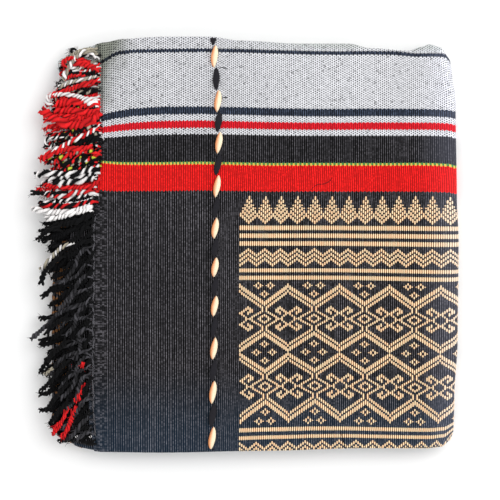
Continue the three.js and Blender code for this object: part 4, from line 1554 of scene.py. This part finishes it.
# Loose threads on the cloth: thickness, and places as seen from above
LOOSE_THREADS = (
    (0.9, ((-31, 182), (-27, 182.5), (-23, 181))),
    (0.9, ((-32, 153), (-28, 152), (-25, 152.5), (-22, 152))),
    (1.6, ((-117, 166), (-115, 164.5))),
    (0.55, ((61, 60), (63.5, 63), (68, 65.5), (74, 66.2), (79, 68.5), (82, 72))),
    (0.8, ((90, -180), (93, -190), (96, -199))),
    (0.8, ((-103, 93), (-101, 91.5))),
    (0.8, ((-62, 95), (-60, 96), (-58, 95))),
)


class BLANKET_OT_twining(bpy.types.Operator):
    """Lay the cream and black thick yarns across the cloth."""

    bl_idname = "blanket.twining"
    bl_label = "Twined yarns"

    def execute(self, context):
        settings = context.scene.blanket_yarn
        cream = thick_yarn_finish("cream_thick_yarn", settings.cream, settings.shaded_peach)
        black = thick_yarn_finish("black_thick_yarn", settings.black, settings.black)
        piece = twined_yarn("cream_twining", 0.0)
        finish_piece(piece, cream, "cream_yarn", "twined_yarn_cream")
        piece = twined_yarn("black_twining", math.pi)
        finish_piece(piece, black, "black_yarn", "twined_yarn_black")
        strands = []
        for number, (thickness, places) in enumerate(LOOSE_THREADS):
            shown = [(x, y, CLOTH_TOP + thickness * 0.3) for x, y in places]
            strands.append(("kk", thickness, 0, number, shown))
        piece = add_strands("loose_threads", strands, {"k": linear(settings.black)})
        finish_piece(piece, fringe_finish(), "black_yarn")
        return {"FINISHED"}


# Lamps around the blanket: name, place and size in metres, and power in watts
LAMPS = (
    ("window_light", (1.4, 0.9, 1.7), 2.0, 32),
    ("fill_light", (-1.6, 0.9, 1.8), 2.0, 6),
    ("front_light", (0.2, -1.9, 1.5), 2.0, 12),
)
ROOM_LIGHT = 0.74
FLOOR_SIZE = 12
FLOOR_HEIGHT = -0.0002
SENSOR_WIDTH = 36


class StageProperties(bpy.types.PropertyGroup):
    floor: colour_setting("Floor", "Colour of the floor", 248, 248, 248)
    distance: bpy.props.FloatProperty(
        name="Camera height", description="Height of the camera above the floor",
        default=1.7, unit="LENGTH",
    )
    view_width: bpy.props.FloatProperty(
        name="View width", description="Width that the camera sees on top of the blanket",
        default=0.5, unit="LENGTH",
    )


class BLANKET_OT_stage(bpy.types.Operator):
    """Set the floor, the lights and the camera above the blanket."""

    bl_idname = "blanket.stage"
    bl_label = "Floor, lights and camera"

    def execute(self, context):
        settings = context.scene.blanket_stage
        bpy.ops.object.select_all(action="DESELECT")
        bpy.ops.mesh.primitive_plane_add(size=FLOOR_SIZE, location=(0, 0, FLOOR_HEIGHT))
        floor = context.active_object
        floor.name = "pale_floor"
        finish = Finish("pale_floor_paint")
        floor.data.materials.append(finish.surface(linear(settings.floor), 0.9))
        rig.stage(floor)
        place = (*stack_shift(), settings.distance)
        bpy.ops.object.camera_add(location=place, rotation=(0, 0, 0))
        camera = context.active_object
        camera.name = "view_from_above"
        reach = settings.distance - CLOTH_TOP * MM
        camera.data.sensor_width = SENSOR_WIDTH
        camera.data.lens = SENSOR_WIDTH * reach / settings.view_width
        camera.data.clip_start = 0.05
        context.scene.camera = camera
        for name, place, size, power in LAMPS:
            bpy.ops.object.light_add(type="AREA", location=place)
            lamp = context.active_object
            lamp.name = name
            lamp.data.size = size
            lamp.data.energy = power
            aim = np.array(place) * -1
            turn_z = math.atan2(aim[1], aim[0]) - math.pi / 2
            turn_x = math.atan2(math.hypot(aim[0], aim[1]), -aim[2])
            lamp.rotation_euler = (turn_x, 0, turn_z)
        world = bpy.data.worlds.new("studio")
        world.use_nodes = True
        background = world.node_tree.nodes["Background"]
        background.inputs["Color"].default_value = (1, 1, 1, 1)
        background.inputs["Strength"].default_value = ROOM_LIGHT
        context.scene.world = world
        context.scene.view_settings.view_transform = "Standard"
        return {"FINISHED"}


class BLANKET_PT_panel(bpy.types.Panel):
    """Pieces of the blanket and the values behind them"""

    bl_idname = "BLANKET_PT_panel"
    bl_label = "Handwoven blanket"
    bl_space_type = "VIEW_3D"
    bl_region_type = "UI"
    bl_category = "Blanket"

    def draw(self, context):
        for name in STEPS:
            self.layout.operator(f"blanket.{name}")
        for group in GROUPS:
            settings = getattr(context.scene, group)
            for key in settings.bl_rna.properties.keys():
                if key not in ("rna_type", "name"):
                    self.layout.prop(settings, key)


GROUPS = {
    "blanket_cloth": ClothProperties,
    "blanket_brocade": BrocadeProperties,
    "blanket_fringe": FringeProperties,
    "blanket_yarn": YarnProperties,
    "blanket_stage": StageProperties,
}
STEPS = ("cloth", "brocade", "fringe", "twining", "stage")
CLASSES = (
    *GROUPS.values(),
    BLANKET_OT_cloth,
    BLANKET_OT_brocade,
    BLANKET_OT_fringe,
    BLANKET_OT_twining,
    BLANKET_OT_stage,
    BLANKET_PT_panel,
)


def register():
    for kind in CLASSES:
        bpy.utils.register_class(kind)
    for name, group in GROUPS.items():
        setattr(bpy.types.Scene, name, bpy.props.PointerProperty(type=group))


def unregister():
    for name in GROUPS:
        delattr(bpy.types.Scene, name)
    for kind in reversed(CLASSES):
        bpy.utils.unregister_class(kind)


def main():
    register()
    for name in STEPS:
        getattr(bpy.ops.blanket, name)()
    sizes = {
        "cad_box": [list(corner) for corner in CAD_BOX],
        "visual_box": [list(corner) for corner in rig.bounds()],
    }
    with open("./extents.json", "w") as file:
        json.dump(sizes, file)


if __name__ == "__main__":
    main()
